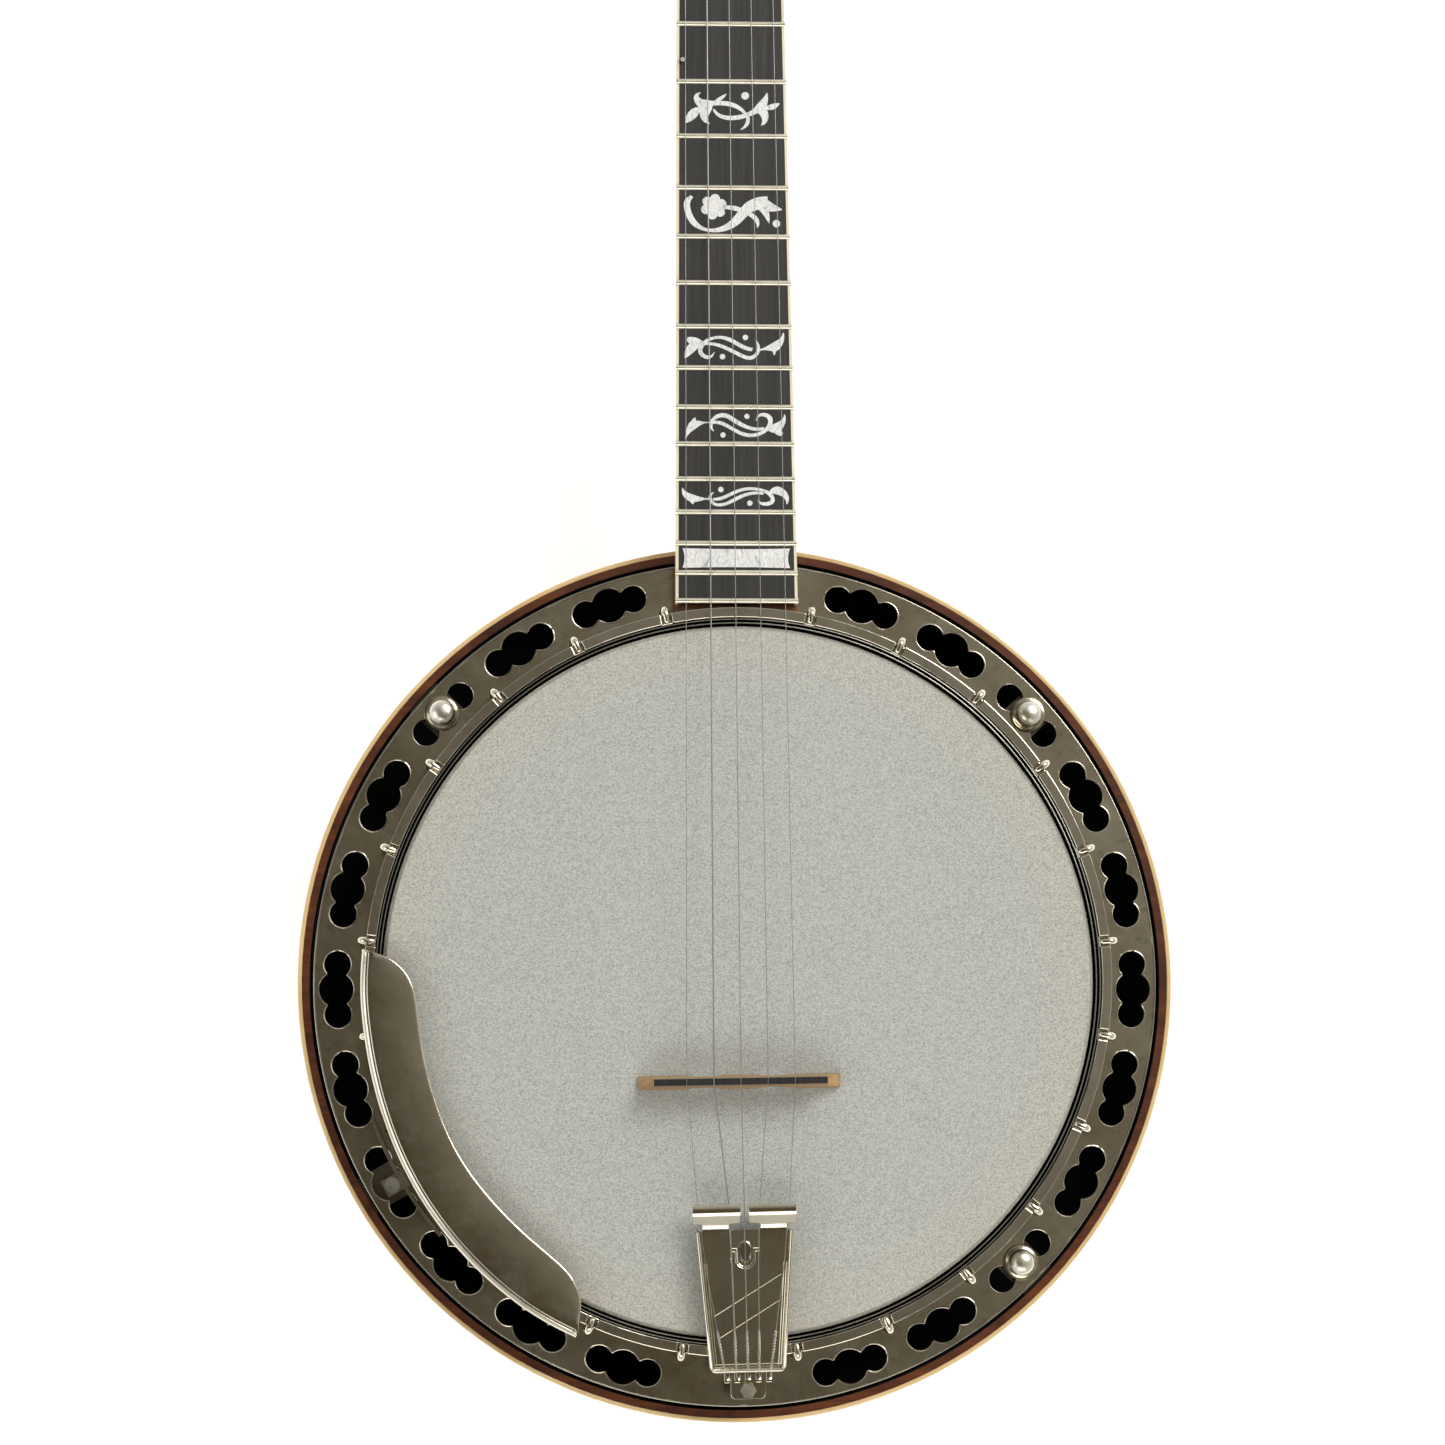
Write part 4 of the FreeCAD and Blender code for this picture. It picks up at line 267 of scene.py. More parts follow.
def ebony(name, streak, base):
    """Near-black wood with fine lengthwise streaks and open pores."""
    s = Shader(name, Roughness=0.42)
    streaks = s.noise(1.0, 5.0, 0.7, s.scaled(1100.0, 26.0, 300.0))
    broad = s.noise(1.0, 3.0, 0.6, s.scaled(220.0, 7.0, 80.0))
    mixed = s.maths("ADD", s.maths("MULTIPLY", streaks, 0.7), s.maths("MULTIPLY", broad, 0.3))
    middle = tuple(0.6 * c for c in streak)
    s.set("Base Color", s.ramp(mixed, [(0.38, base), (0.55, middle), (0.72, streak)]))
    s.bump(streaks, 0.00006, 0.35)
    return s.material


def ivoroid(name, light, dark):
    """Celluloid binding with faint layered lines."""
    s = Shader(name, Roughness=0.36, Coat_Weight=0.5, Coat_Roughness=0.12)
    lines = s.noise(1.0, 3.0, 0.6, s.scaled(60.0, 60.0, 1600.0))
    cloud = s.noise(30.0, 4.0, 0.6)
    both = s.maths("ADD", s.maths("MULTIPLY", lines, 0.45), s.maths("MULTIPLY", cloud, 0.55))
    s.set("Base Color", s.ramp(both, [(0.35, dark), (0.65, light)]))
    s.bump(cloud, 0.00003, 0.3)
    return s.material


def nacre(name, tint=(1.0, 1.0, 1.0)):
    """Mother of pearl: broken bands of white, grey and a hint of green and pink."""
    s = Shader(name, Roughness=0.22, Coat_Weight=0.8, Coat_Roughness=0.06, Specular_IOR_Level=0.7)
    warp = s.noise(120.0, 3.0, 0.6, None, 2.5)
    bands = s.noise(1.0, 4.0, 0.6, s.scaled(260.0, 90.0, 90.0), 3.0)
    flash = s.noise(420.0, 2.0, 0.5, None, 1.5)
    colour = s.ramp(bands, [(0.30, (0.36, 0.38, 0.40)), (0.42, (0.72, 0.74, 0.74)),
                            (0.50, (0.93, 0.93, 0.92)), (0.60, (0.62, 0.66, 0.65)),
                            (0.70, (0.97, 0.96, 0.95))])
    colour = s.mix(s.spread(warp, 0.0, 0.35, 0.45, 0.7), colour, (0.80, 0.74, 0.74))
    colour = s.mix(s.spread(flash, 0.0, 0.5, 0.55, 0.75), colour, (1.0, 1.0, 0.98))
    s.set("Base Color", s.mix(1.0, colour, tint, "MULTIPLY"))
    s.bump(bands, 0.00003, 0.2)
    return s.material


HEAD_FILM = head_film()
EBONY = ebony("ebony", (0.046, 0.043, 0.040), (0.013, 0.0125, 0.012))
CAP_EBONY = ebony("bridge_ebony", (0.035, 0.030, 0.030), (0.008, 0.008, 0.009))
OVERLAY = ebony("peghead_black", (0.030, 0.028, 0.028), (0.008, 0.008, 0.008))
BINDING = ivoroid("resonator_ivoroid", (0.82, 0.62, 0.33), (0.70, 0.47, 0.21))
NECK_BINDING = ivoroid("neck_ivoroid", (0.84, 0.79, 0.62), (0.73, 0.66, 0.47))
BONE = ivoroid("bone", (0.86, 0.82, 0.72), (0.74, 0.69, 0.57))
PEARL = nacre("pearl")
PEARLOID = nacre("pearloid", (1.0, 0.96, 0.88))

FINISH = {
    "rim": MAPLE_PLIES, "tone_ring": HOOP_NICKEL, "head": HEAD_FILM, "flesh_hoop": STEEL,
    "tension_hoop": HOOP_NICKEL, "bracket_hooks": NICKEL, "bracket_nuts": NICKEL, "flange": AGED_NICKEL,
    "resonator_wall": RESONATOR_WOOD, "resonator_back": BACK_WOOD, "resonator_binding": BINDING,
    "resonator_lugs": LUG_METAL, "wood_screws": STEEL, "coordinator_rods": STEEL, "rod_fasteners": STEEL,
    "tailpiece_frame": NICKEL, "tailpiece_cover": NICKEL, "tailpiece_hanger": THUMB_NICKEL,
    "tailpiece_screws": LUG_METAL, "armrest": NICKEL, "armrest_clamps": HOOP_NICKEL,
    "armrest_screws": STEEL,
    "bridge": BRIDGE_MAPLE, "bridge_cap": CAP_EBONY, "neck": NECK_WOOD, "fingerboard": EBONY,
    "neck_binding": NECK_BINDING, "frets": FRET_METAL, "pearl_inlays": PEARL, "nut": BONE,
    "fifth_string_nut": BONE, "capo_spikes": STEEL, "peghead_overlay": OVERLAY, "truss_rod": STEEL,
    "truss_rod_cover": OVERLAY, "tuner_housings": TUNER_NICKEL, "tuner_nuts": TUNER_NICKEL,
    "fifth_tuner_body": TUNER_NICKEL, "fifth_tuner_button": PEARLOID, "fifth_tuner_spool": TUNER_NICKEL,
}
for number in range(1, 6):
    FINISH[f"string_{number}"] = STRING_METAL
for number in range(1, 5):
    FINISH[f"tuner_{number}_button"] = PEARLOID
    FINISH[f"tuner_{number}_post"] = TUNER_NICKEL
    FINISH[f"tuner_{number}_planets"] = STEEL
for number in range(1, 4):
    FINISH[f"thumbscrew_{number}"] = THUMB_NICKEL


def rounded(node, width):
    """Softens a CAD node's edges so that they catch the light; its mesh stays as it is."""
    weld = node.modifiers.new("weld", "WELD")
    weld.merge_threshold = 0.000002
    bevel = node.modifiers.new("edges", "BEVEL")
    bevel.width = width * MM
    bevel.segments = 2
    bevel.limit_method = "ANGLE"
    bevel.angle_limit = math.radians(35.0)
    bevel.use_clamp_overlap = True


for label, node in NODES.items():
    node.data.materials.clear()
    node.data.materials.append(FINISH[label])


# ---------------------------------------------------------------- mesh helpers


def mesh_piece(name, vertices, faces, material, body="root", slot=None, replaces=()):
    """A new mesh object in the row frame, in metres, that rides on a CAD body."""
    mesh = bpy.data.meshes.new(name)
    mesh.from_pydata([tuple(v) for v in vertices], [], faces)
    mesh.update()
    piece = bpy.data.objects.new(name, mesh)
    bpy.context.scene.collection.objects.link(piece)
    mesh.materials.append(material)
    mesh.polygons.foreach_set("use_smooth", [True] * len(mesh.polygons))
    mesh.set_sharp_from_angle(angle=math.radians(40.0))
    if body:
        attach(piece, body)
    if replaces:
        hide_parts(*replaces)
    return piece


class Build:
    """Collects vertices in millimetres, through one placement, and faces."""

    def __init__(self, place=Matrix.Identity(4)):
        self.place = place
        self.vertices = []
        self.faces = []

    def add(self, points):
        first = len(self.vertices)
        self.vertices += [(self.place @ Vector(p)) * MM for p in points]
        return first

    def skin(self, rings, closed=True, caps=True, looped=False):
        """Faces between equal rows of points, one row to the next."""
        count = len(rings[0])
        starts = [self.add(ring) for ring in rings]
        pairs = list(zip(starts, starts[1:])) + ([(starts[-1], starts[0])] if looped else [])
        for a, b in pairs:
            for k in range(count if closed else count - 1):
                j = (k + 1) % count
                self.faces.append((a + k, a + j, b + j, b + k))
        if caps and not looped:
            self.faces.append(tuple(starts[0] + k for k in reversed(range(count))))
            self.faces.append(tuple(starts[-1] + k for k in range(count)))

    def tube(self, path, radius, sides, looped=False):
        """A round wire along points; radius is a number or one number for each point."""
        points = [Vector(p) for p in path]
        radii = radius if isinstance(radius, (list, tuple)) else [radius] * len(points)
        rings = []
        side = None
        for index, point in enumerate(points):
            before = points[index - 1] if index or looped else point
            after = points[(index + 1) % len(points)] if looped or index + 1 < len(points) else point
            run = (after - before).normalized()
            if side is None:
                side = run.orthogonal().normalized()
            side = (side - run * side.dot(run)).normalized()
            up = run.cross(side)
            turns = [2 * math.pi * k / sides for k in range(sides)]
            rings.append([point + (side * math.cos(t) + up * math.sin(t)) * radii[index] for t in turns])
        self.skin(rings, looped=looped)

    def lathe(self, profile, steps=48):
        """A turned shape about local Z from (radius, height) points, open at the axis ends."""
        rings = []
        for k in range(steps):
            t = 2 * math.pi * k / steps
            rings.append([(r * math.cos(t), r * math.sin(t), z) for r, z in profile])
        self.skin(rings, closed=False, caps=False, looped=True)

    def piece(self, name, material, **options):
        return mesh_piece(name, self.vertices, self.faces, material, **options)


def arc(centre, radius, start, end, steps):
    """Points on an arc in the plane of the first two coordinates; angles in degrees."""
    turns = [math.radians(start + (end - start) * k / steps) for k in range(steps + 1)]
    return [(centre[0] + radius * math.cos(t), centre[1] + radius * math.sin(t)) for t in turns]


def smooth_line(controls, steps):
    """A Catmull-Rom curve through control points."""
    points = [Vector(c) for c in controls]
    ends = [2 * points[0] - points[1]] + points + [2 * points[-1] - points[-2]]
    line = []
    for a, b, c, d in zip(ends, ends[1:], ends[2:], ends[3:]):
        for k in range(steps):
            t = k / steps
            line.append(0.5 * (2 * b + (c - a) * t + (2 * a - 5 * b + 4 * c - d) * t * t
                               + (3 * b - a - 3 * c + d) * t ** 3))
    return line + [points[-1]]


# ---------------------------------------------------------------- pot hardware

HOOK_CIRCLE, HOOK_ROD, HOOK_BEND = 148.4, 1.65, 1.8
SHAFT_FOOT, SHAFT_MIDDLE = 47.2, 60.0
HOOK_FIRST, HOOK_STEP, HOOKS_PER_SIDE = 11.3, 14.53, 12
NOTCH_FLOOR, HOOP_INNER = 85.8, 142.6


def turned(angle):
    """Turns the +Y direction to an angle measured anticlockwise from the neck."""
    return Matrix.Rotation(math.radians(angle), 4, "Z")


def bracket_hooks():
    """Round hooks: a plain shaft outside the hoop, a tight bend, and a worn tip in the notch."""
    level = NOTCH_FLOOR + HOOK_ROD
    build = Build()
    for side in (1, -1):
        for index in range(HOOKS_PER_SIDE):
            build.place = turned(side * (HOOK_FIRST + index * HOOK_STEP))
            bend = [(0, HOOK_CIRCLE - HOOK_BEND + y, level - HOOK_BEND + z)
                    for y, z in arc((0, 0), HOOK_BEND, 0, 90, 8)]
            path = [(0, HOOK_CIRCLE, SHAFT_FOOT), (0, HOOK_CIRCLE, SHAFT_MIDDLE)] + bend
            path += [(0, HOOP_INNER + 1.3, level - 0.05), (0, HOOP_INNER + 0.6, level - 0.12),
                     (0, HOOP_INNER + 0.25, level - 0.2)]
            radii = [HOOK_ROD] * (len(path) - 3) + [1.45, 1.2, 0.7]
            build.tube(path, radii, 14)
    build.piece("hook_rods", NICKEL, slot="nickel", replaces=("bracket_hooks",))


CLOUD_CIRCLE, CLOUD_FIRST, CLOUD_STEP, CLOUDS_PER_SIDE = 157.8, 18.6, 14.49, 11
CLOUD_LOBES = ((-9.9, -0.6, 5.5), (0.0, 0.0, 7.0), (9.9, -0.6, 5.5))
FLANGE_TOP, FLANGE_RIM = 63.5, 166.6
THUMB_ANGLES = (CLOUD_FIRST + 2 * CLOUD_STEP, -CLOUD_FIRST - 2 * CLOUD_STEP,
                -CLOUD_FIRST - 8 * CLOUD_STEP)
HEEL_GAP_ANGLE = 7.3
# how far the edge wires lie below the flange's top
FLUSH, PROUD, RIM_DROP = 0.36, 0.12, 0.2
EDGE_WIRE, RIM_WIRE = 0.32, 0.5
RING_STEPS = 240


def cloud_outline():
    """The outline of three overlapping round holes, as points about the middle one."""
    points = []
    for along, out, radius in CLOUD_LOBES:
        for k in range(48):
            t = 2 * math.pi * k / 48
            spot = Vector((along + radius * math.cos(t), out + radius * math.sin(t)))
            covered = [(spot - Vector((x, y))).length < r - 0.05
                       for x, y, r in CLOUD_LOBES if x != along]
            if not any(covered):
                points.append(spot)
    upper = sorted((p for p in points if p.y >= -0.3), key=lambda p: p.x)
    lower = sorted((p for p in points if p.y < -0.3), key=lambda p: -p.x)
    return [(p.x, p.y) for p in upper + lower]


def flange_edges():
    """Rolled and polished edges round every cut-out and round the flange's outer rim."""
    build = Build()
    outline = cloud_outline()
    for side in (1, -1):
        for index in range(CLOUDS_PER_SIDE):
            angle = side * (CLOUD_FIRST + index * CLOUD_STEP)
            build.place = turned(angle)
            # flush under a thumbscrew's collar, a little proud elsewhere
            under_collar = any(abs(angle - thumb) < 0.1 for thumb in THUMB_ANGLES)
            level = FLANGE_TOP - (FLUSH if under_collar else PROUD)
            path = [(side * -x, CLOUD_CIRCLE + y, level) for x, y in outline]
            build.tube(path, EDGE_WIRE, 8, looped=True)
    build.place = Matrix.Identity(4)
    path = []
    for k in range(RING_STEPS + 1):
        t = math.radians(HEEL_GAP_ANGLE + (360 - 2 * HEEL_GAP_ANGLE) * k / RING_STEPS)
        path.append((-FLANGE_RIM * math.sin(t), FLANGE_RIM * math.cos(t), FLANGE_TOP - RIM_DROP))
    build.tube(path, RIM_WIRE, 10)
    build.piece("flange_rolled_edges", EDGE_NICKEL, slot="aged_nickel")


# as (radius, height, thickness)
LIP_LINES = ((140.6, 87.2, 0.28), (141.9, 88.6, 0.22))


def hoop_lip():
    """Two thin lines over the edge of the head that stand in for the hoop's inner lip."""
    build = Build()
    turns = [2 * math.pi * k / RING_STEPS for k in range(RING_STEPS)]
    for radius, level, thick in LIP_LINES:
        path = [(radius * math.cos(t), radius * math.sin(t), level) for t in turns]
        build.tube(path, thick, 6, looped=True)
    build.piece("hoop_lip_lines", HOOP_LINES, slot="nickel")


# turned profiles, as (radius, height)
THUMB_DOME = [(4.9, 64.9), (5.3, 65.3), (5.42, 66.0), (5.42, 67.4), (5.2, 68.6), (4.7, 69.6), (3.9, 70.45),
              (2.9, 71.0), (1.8, 71.32), (0.8, 71.46), (0.02, 71.5)]
THUMB_COLLAR = [(2.4, 48.2), (2.4, 63.55), (6.7, 63.55), (7.05, 63.8), (7.05, 64.5), (6.8, 64.8), (5.9, 64.9),
                (5.5, 65.15), (4.9, 65.2)]


def thumbscrews():
    """A brushed dome on a darker collar, turning with its screw."""
    for number, angle in enumerate(THUMB_ANGLES, 1):
        place = turned(angle) @ Matrix.Translation((0, CLOUD_CIRCLE, 0))
        build = Build(place)
        build.lathe(THUMB_DOME)
        build.piece(f"thumb_dome_{number}", THUMB_NICKEL, body=f"thumbscrew_{number}", slot="nickel",
                    replaces=(f"thumbscrew_{number}",))
        build = Build(place)
        build.lathe(THUMB_COLLAR)
        build.piece(f"thumb_collar_{number}", AGED_NICKEL, body=f"thumbscrew_{number}", slot="nickel")


# ---------------------------------------------------------------- armrest

REST_TOP = 95.2
REST_ENDS = (85.4, 155.2)
# the plate's two long edges seen from above, as (angle from the neck, radius)
REST_INNER = [(85.4, 146.2), (85.9, 141.0), (86.9, 134.8), (89.2, 129.2), (93.0, 126.3), (100.0, 125.9),
              (110.0, 126.9), (122.0, 128.4), (135.0, 128.6), (144.5, 129.4), (149.5, 131.4), (152.4, 135.6),
              (154.0, 141.0), (155.2, 150.2)]
REST_OUTER = [(85.4, 147.6), (92.0, 147.9), (100.0, 147.9), (110.0, 148.7), (122.0, 150.2), (136.0, 151.6),
              (147.0, 152.6), (155.2, 152.6)]
# the plate's edges in section, as (outward, up)
REST_INNER_EDGE = [(0.0, -1.5), (0.0, -0.7), (0.12, -0.35), (0.4, -0.1), (0.8, 0.0), (1.2, 0.02)]
REST_RIM = [(-4.1, 0.02), (-3.6, 0.0), (-3.0, -0.04), (-2.75, -0.30), (-2.5, -0.38), (-2.25, -0.30),
            (-1.8, -0.42), (-1.1, -0.85), (-0.5, -1.4), (-0.1, -2.0), (0.0, -2.8), (0.0, -4.4), (-0.8, -4.4),
            (-0.9, -2.6), (-1.5, -1.7), (-3.6, -1.1)]
REST_STEPS = 150
REST_CROWN = 0.12


def at_angle(line, angle):
    """Radius at an angle, straight between the line's (angle, radius) points."""
    for (a0, r0), (a1, r1) in zip(line, line[1:]):
        if angle <= a1:
            share = (angle - a0) / (a1 - a0)
            return r0 + (r1 - r0) * share
    return line[-1][1]


def rest_section(near, far):
    """The plate's closed section between two radii; the rolled rim shrinks where it is narrow."""
    wide = max(far - near, 1.4)
    roll = min(1.0, wide / 6.0)
    section = [(near + a * roll, REST_TOP + z * roll) for a, z in REST_INNER_EDGE]
    section.append((near + 0.5 * (wide - 4.0 * roll), REST_TOP + REST_CROWN))
    section += [(far + a * roll, REST_TOP + z * roll) for a, z in REST_RIM]
    section.append((near + 1.2 * roll, REST_TOP - 1.1))
    return section


def armrest():
    """A pressed and polished plate: flat top, groove, and a rolled outer rim."""
    inner = [tuple(p)[:2] for p in smooth_line([(a, r, 0) for a, r in REST_INNER], 8)]
    outer = [tuple(p)[:2] for p in smooth_line([(a, r, 0) for a, r in REST_OUTER], 8)]
    first, last = REST_ENDS
    rings = []
    for k in range(REST_STEPS + 1):
        share = k / REST_STEPS
        # the sections lie closer together at the two ends, where the outline turns
        angle = first + (last - first) * (share - 0.028 * math.sin(2 * math.pi * share))
        t = math.radians(angle)
        section = rest_section(at_angle(inner, angle), at_angle(outer, angle))
        rings.append([(-r * math.sin(t), r * math.cos(t), z) for r, z in section])
    build = Build()
    build.skin(rings)
    build.piece("armrest_plate", REST_NICKEL, slot="nickel", replaces=("armrest",))


# ---------------------------------------------------------------- tailpiece

TAIL_LENGTH, TAIL_BACK, TAIL_FRONT = 55.2, 14.8, 19.1
TAIL = (Matrix.Translation((3.0, -152.4, 91.0)) @ Matrix.Rotation(math.radians(1.4), 4, "Z")
        @ Matrix.Rotation(math.radians(2.5), 4, "X"))
TAIL_SHEET, TAIL_RIM = 1.2, 3.55
TAIL_HOOKS = (-8.2, -4.1, 0.0, 4.1, 8.2)
PLATE_COLUMNS, PLATE_ROWS = 40, 60
SLOT_HALF, SLOT_REAR, SLOT_FRONT = 1.9, 43.6, 50.4
BEAD, SLOT_WIRE, ROLL_WIRE = 0.17, 0.42, 0.68
BEAD_LEVEL = TAIL_SHEET + 0.04
HOOK_STRIP = ((-1, -0.5), (-0.8, -1), (0.8, -1), (1, -0.5), (1, 0.5), (0.8, 1), (-0.8, 1), (-1, 0.5))
HOOK_STRIP_HALF, HOOK_STRIP_THICK = 1.15, 0.42
FINGER_MIDDLE, TAB_MIDDLE, FINGER_SHEET, FINGER_TOP = 11.3, 10.95, 0.9, 2.0
# a finger's top line ahead of the plate's front edge, as (forward, up, half width)
FINGER_LINE = [
    (-12.5, 0.0, 5.6), (-0.4, 0.0, 5.6), (0.5, 0.05, 5.4), (1.3, 0.25, 5.15), (2.2, 0.6, 5.15),
    (2.7, 0.85, 5.6), (3.0, 1.0, 6.8), (3.15, 1.1, 8.9), (3.5, 1.3, 9.35), (4.4, 1.9, 9.35),
    (5.4, 2.5, 9.35), (6.3, 2.95, 9.35), (7.0, 3.2, 9.35), (7.8, 3.35, 9.35), (8.8, 3.4, 9.35),
    (9.6, 3.3, 9.35), (10.1, 3.0, 9.3), (10.3, 2.4, 9.2), (10.3, 1.2, 9.2)]


def tail_half(y):
    """Half of the channel's width, y forward of its rear edge."""
    return TAIL_BACK + (TAIL_FRONT - TAIL_BACK) * y / TAIL_LENGTH


def tail_plate(build):
    """The floor of the channel, upper and lower skin, open at the slot."""
    for level, flip in ((TAIL_SHEET, False), (0.0, True)):
        grid = []
        for j in range(PLATE_ROWS + 1):
            y = TAIL_LENGTH * j / PLATE_ROWS
            half = tail_half(y) - 0.7
            grid.append([(half * (2 * i / PLATE_COLUMNS - 1), y, level) for i in range(PLATE_COLUMNS + 1)])
        starts = [build.add(row) for row in grid]
        for j in range(PLATE_ROWS):
            for i in range(PLATE_COLUMNS):
                corners = [grid[j][i], grid[j][i + 1], grid[j + 1][i + 1], grid[j + 1][i]]
                middle = sum((Vector(c) for c in corners), Vector()) / 4
                if abs(middle.x) < SLOT_HALF and SLOT_REAR < middle.y < SLOT_FRONT:
                    continue
                face = (starts[j] + i, starts[j] + i + 1, starts[j + 1] + i + 1, starts[j + 1] + i)
                build.faces.append(face[::-1] if flip else face)


def tail_slot_lip(build):
    """A rounded lip along the slot's edge."""
    radius = SLOT_HALF + 0.1
    lip = arc((0, SLOT_FRONT - radius + 0.4), radius, 0, 180, 14)
    lip += arc((0, SLOT_REAR + radius - 0.4), radius, 180, 360, 14)
    build.tube([(x, y, TAIL_SHEET - 0.05) for x, y in lip], SLOT_WIRE, 8, looped=True)


def tail_walls(build):
    """Side and rear walls with a rolled top, which drops at the rear."""
    outline = [(-tail_half(TAIL_LENGTH) + 0.75, TAIL_LENGTH - 0.2)]
    outline += [(-tail_half(30) + 0.75, 30.0), (-tail_half(2.2) + 0.75, 2.6)]
    outline += [(-tail_half(0) + 1.25 + x, 1.1 + y) for x, y in arc((0.9, 0.9), 1.0, 190, 262, 4)]
    outline += [(-x, y) for x, y in reversed(outline)]
    build.tube([(x, y, TAIL_RIM - (0.9 if y < 2.4 else 0.0)) for x, y in outline], ROLL_WIRE, 12)
    under_roll = TAIL_RIM - 0.6
    walls = []
    for x, y in outline:
        outer = [(x, y, 0.1), (x, y, under_roll)]
        x, y = x * 0.965, y + (0.5 if y < 2.4 else 0.0)
        walls.append(outer + [(x, y, under_roll), (x, y, 0.1)])
    build.skin(walls)


def bead(build, points):
    """One raised line on the plate."""
    build.tube([(x, y, BEAD_LEVEL) for x, y in points], BEAD, 8)


def tail_beads(build):
    """Raised lines: pairs along the sides, rear, front and slot, and two diagonals."""
    for inset in (2.1, 3.0):
        for side in (-1, 1):
            bead(build, [(side * (tail_half(y) - inset), y) for y in (3.0, 20.0, 47.4)])
    for y in (2.4, 3.5):
        half = tail_half(y) - 2.4
        bead(build, [(-half, y), (0, y), (half, y)])
    for y, reach in ((47.2, 3.9), (48.4, 3.1)):
        for side in (-1, 1):
            bead(build, [(side * (tail_half(y) - 1.6), y), (side * reach, y)])
    for reach, high in ((3.9, 47.2), (3.1, 48.4)):
        bead(build, [(-reach, high)] + arc((0, 44.3), reach, 180, 360, 16) + [(reach, high)])
    for start, end in (((-12.6, 22.2), (13.9, 38.0)), ((-11.2, 13.4), (13.0, 27.9))):
        bead(build, [start, end])


def tail_hooks(build):
    """Flat strips that run out behind the rear wall and turn up to hold the strings' ends."""
    for across in TAIL_HOOKS:
        flat = [[(across + a * HOOK_STRIP_HALF, y, z + b * HOOK_STRIP_THICK) for a, b in HOOK_STRIP]
                for y, z in ((1.6, 1.0), (-0.6, 0.9), (-2.4, 0.8), (-3.1, 1.3))]
        upright = [[(across + a * HOOK_STRIP_HALF, y - b * HOOK_STRIP_THICK, z) for a, b in HOOK_STRIP]
                   for y, z in ((-3.2, 2.2), (-2.9, 2.9))]
        build.skin(flat)
        build.skin(upright)


def hanger_plate(build):
    """The plate behind the hooks, its upper edge slightly drawn in."""
    half = [(6.6, -0.4), (6.9, -8.2), (6.4, -9.6), (5.4, -10.2)]
    plate = [(-x, y) for x, y in half] + half[::-1]
    build.skin([[(x, y, -1.4) for x, y in plate], [(x, y, -0.5) for x, y in plate],
                [(x * 0.97, y * 0.985 - 0.05, -0.15) for x, y in plate]])


def tail_finger(build, side):
    """A finger that runs over the plate, narrows, and spreads into a raised tab at the front."""
    line = [(TAIL_LENGTH + y, FINGER_TOP + z, half) for y, z, half in FINGER_LINE]
    spine = [Vector((0, y, z)) for y, z, _ in line]
    middle, tab = side * FINGER_MIDDLE, side * TAB_MIDDLE
    inset = Vector((0.18, 0, 0))
    rings = []
    for index, (y, z, half) in enumerate(line):
        run = (spine[min(index + 1, len(spine) - 1)] - spine[max(index - 1, 0)]).normalized()
        down = Vector((0, run.z, -run.y)) * FINGER_SHEET
        centre = middle + (tab - middle) * min(1.0, max(0.0, (half - 5.3) / 3.7))
        left = Vector((centre - half, y, z))
        right = Vector((centre + half, y, z))
        rings.append([left + inset, right - inset, right + down * 0.2, right + down, left + down,
                      left + down * 0.2])
    build.skin(rings)


def tailpiece():
    """A pressed channel with rolled rims and beaded lines, and two fingers with raised tabs."""
    build = Build(TAIL)
    tail_plate(build)
    tail_slot_lip(build)
    tail_walls(build)
    tail_beads(build)
    tail_hooks(build)
    hanger_plate(build)
    build.piece("tailpiece_channel", NICKEL, slot="nickel", replaces=("tailpiece_frame",))
    build = Build(TAIL)
    for side in (-1, 1):
        tail_finger(build, side)
    build.piece("tailpiece_fingers", NICKEL, slot="nickel", replaces=("tailpiece_cover",))


# ---------------------------------------------------------------- strings

FRONT_SPOTS = (-18.1, -6.0, 0.0, 6.0, 17.6)
TWIST_TURNS, TWIST_LENGTH, TWIST_RADIUS, TWIST_WIRE = 13, 15.5, 0.34, 0.15


def string_twists():
    """The wound-back ends of the strings, from the tail hooks forward over the plate."""
    build = Build(TAIL)
    steps = TWIST_TURNS * 10
    for hook, front in zip(TAIL_HOOKS, FRONT_SPOTS):
        start = Vector((hook * 1.1, 0.8, 2.95))
        end = Vector((front * 0.86, TAIL_LENGTH - 13.0, 2.35))
        run = (end - start).normalized()
        side = run.orthogonal().normalized()
        up = run.cross(side)
        path = []
        for k in range(steps + 1):
            share = k / steps
            around = 2 * math.pi * TWIST_TURNS * share
            swing = (side * math.cos(around) + up * math.sin(around)) * TWIST_RADIUS
            path.append(start + run * (TWIST_LENGTH * share) + swing)
        build.tube(path, TWIST_WIRE, 6)
    build.piece("string_end_twists", TWIST_STEEL, slot="string_steel")


# ---------------------------------------------------------------- studio


def floor():
    """A pale floor that glows a little, so that it stays white round the object."""
    s = Shader("floor", Roughness=0.9)
    clouds = s.noise(3.0, 2.0)
    s.set("Base Color", s.ramp(clouds, [(0.3, (0.80, 0.80, 0.80)), (0.7, (0.82, 0.82, 0.82))]))
    s.shader.inputs["Emission Color"].default_value = (1.0, 1.0, 1.0, 1.0)
    s.shader.inputs["Emission Strength"].default_value = 0.62
    reach = 9.0
    low = CAD_BOX[0].z - 0.0005
    corners = [(-reach, -reach, low), (reach, -reach, low), (reach, reach, low), (-reach, reach, low)]
    mesh_piece("floor", corners, [(0, 1, 2, 3)], s.material, body=None)


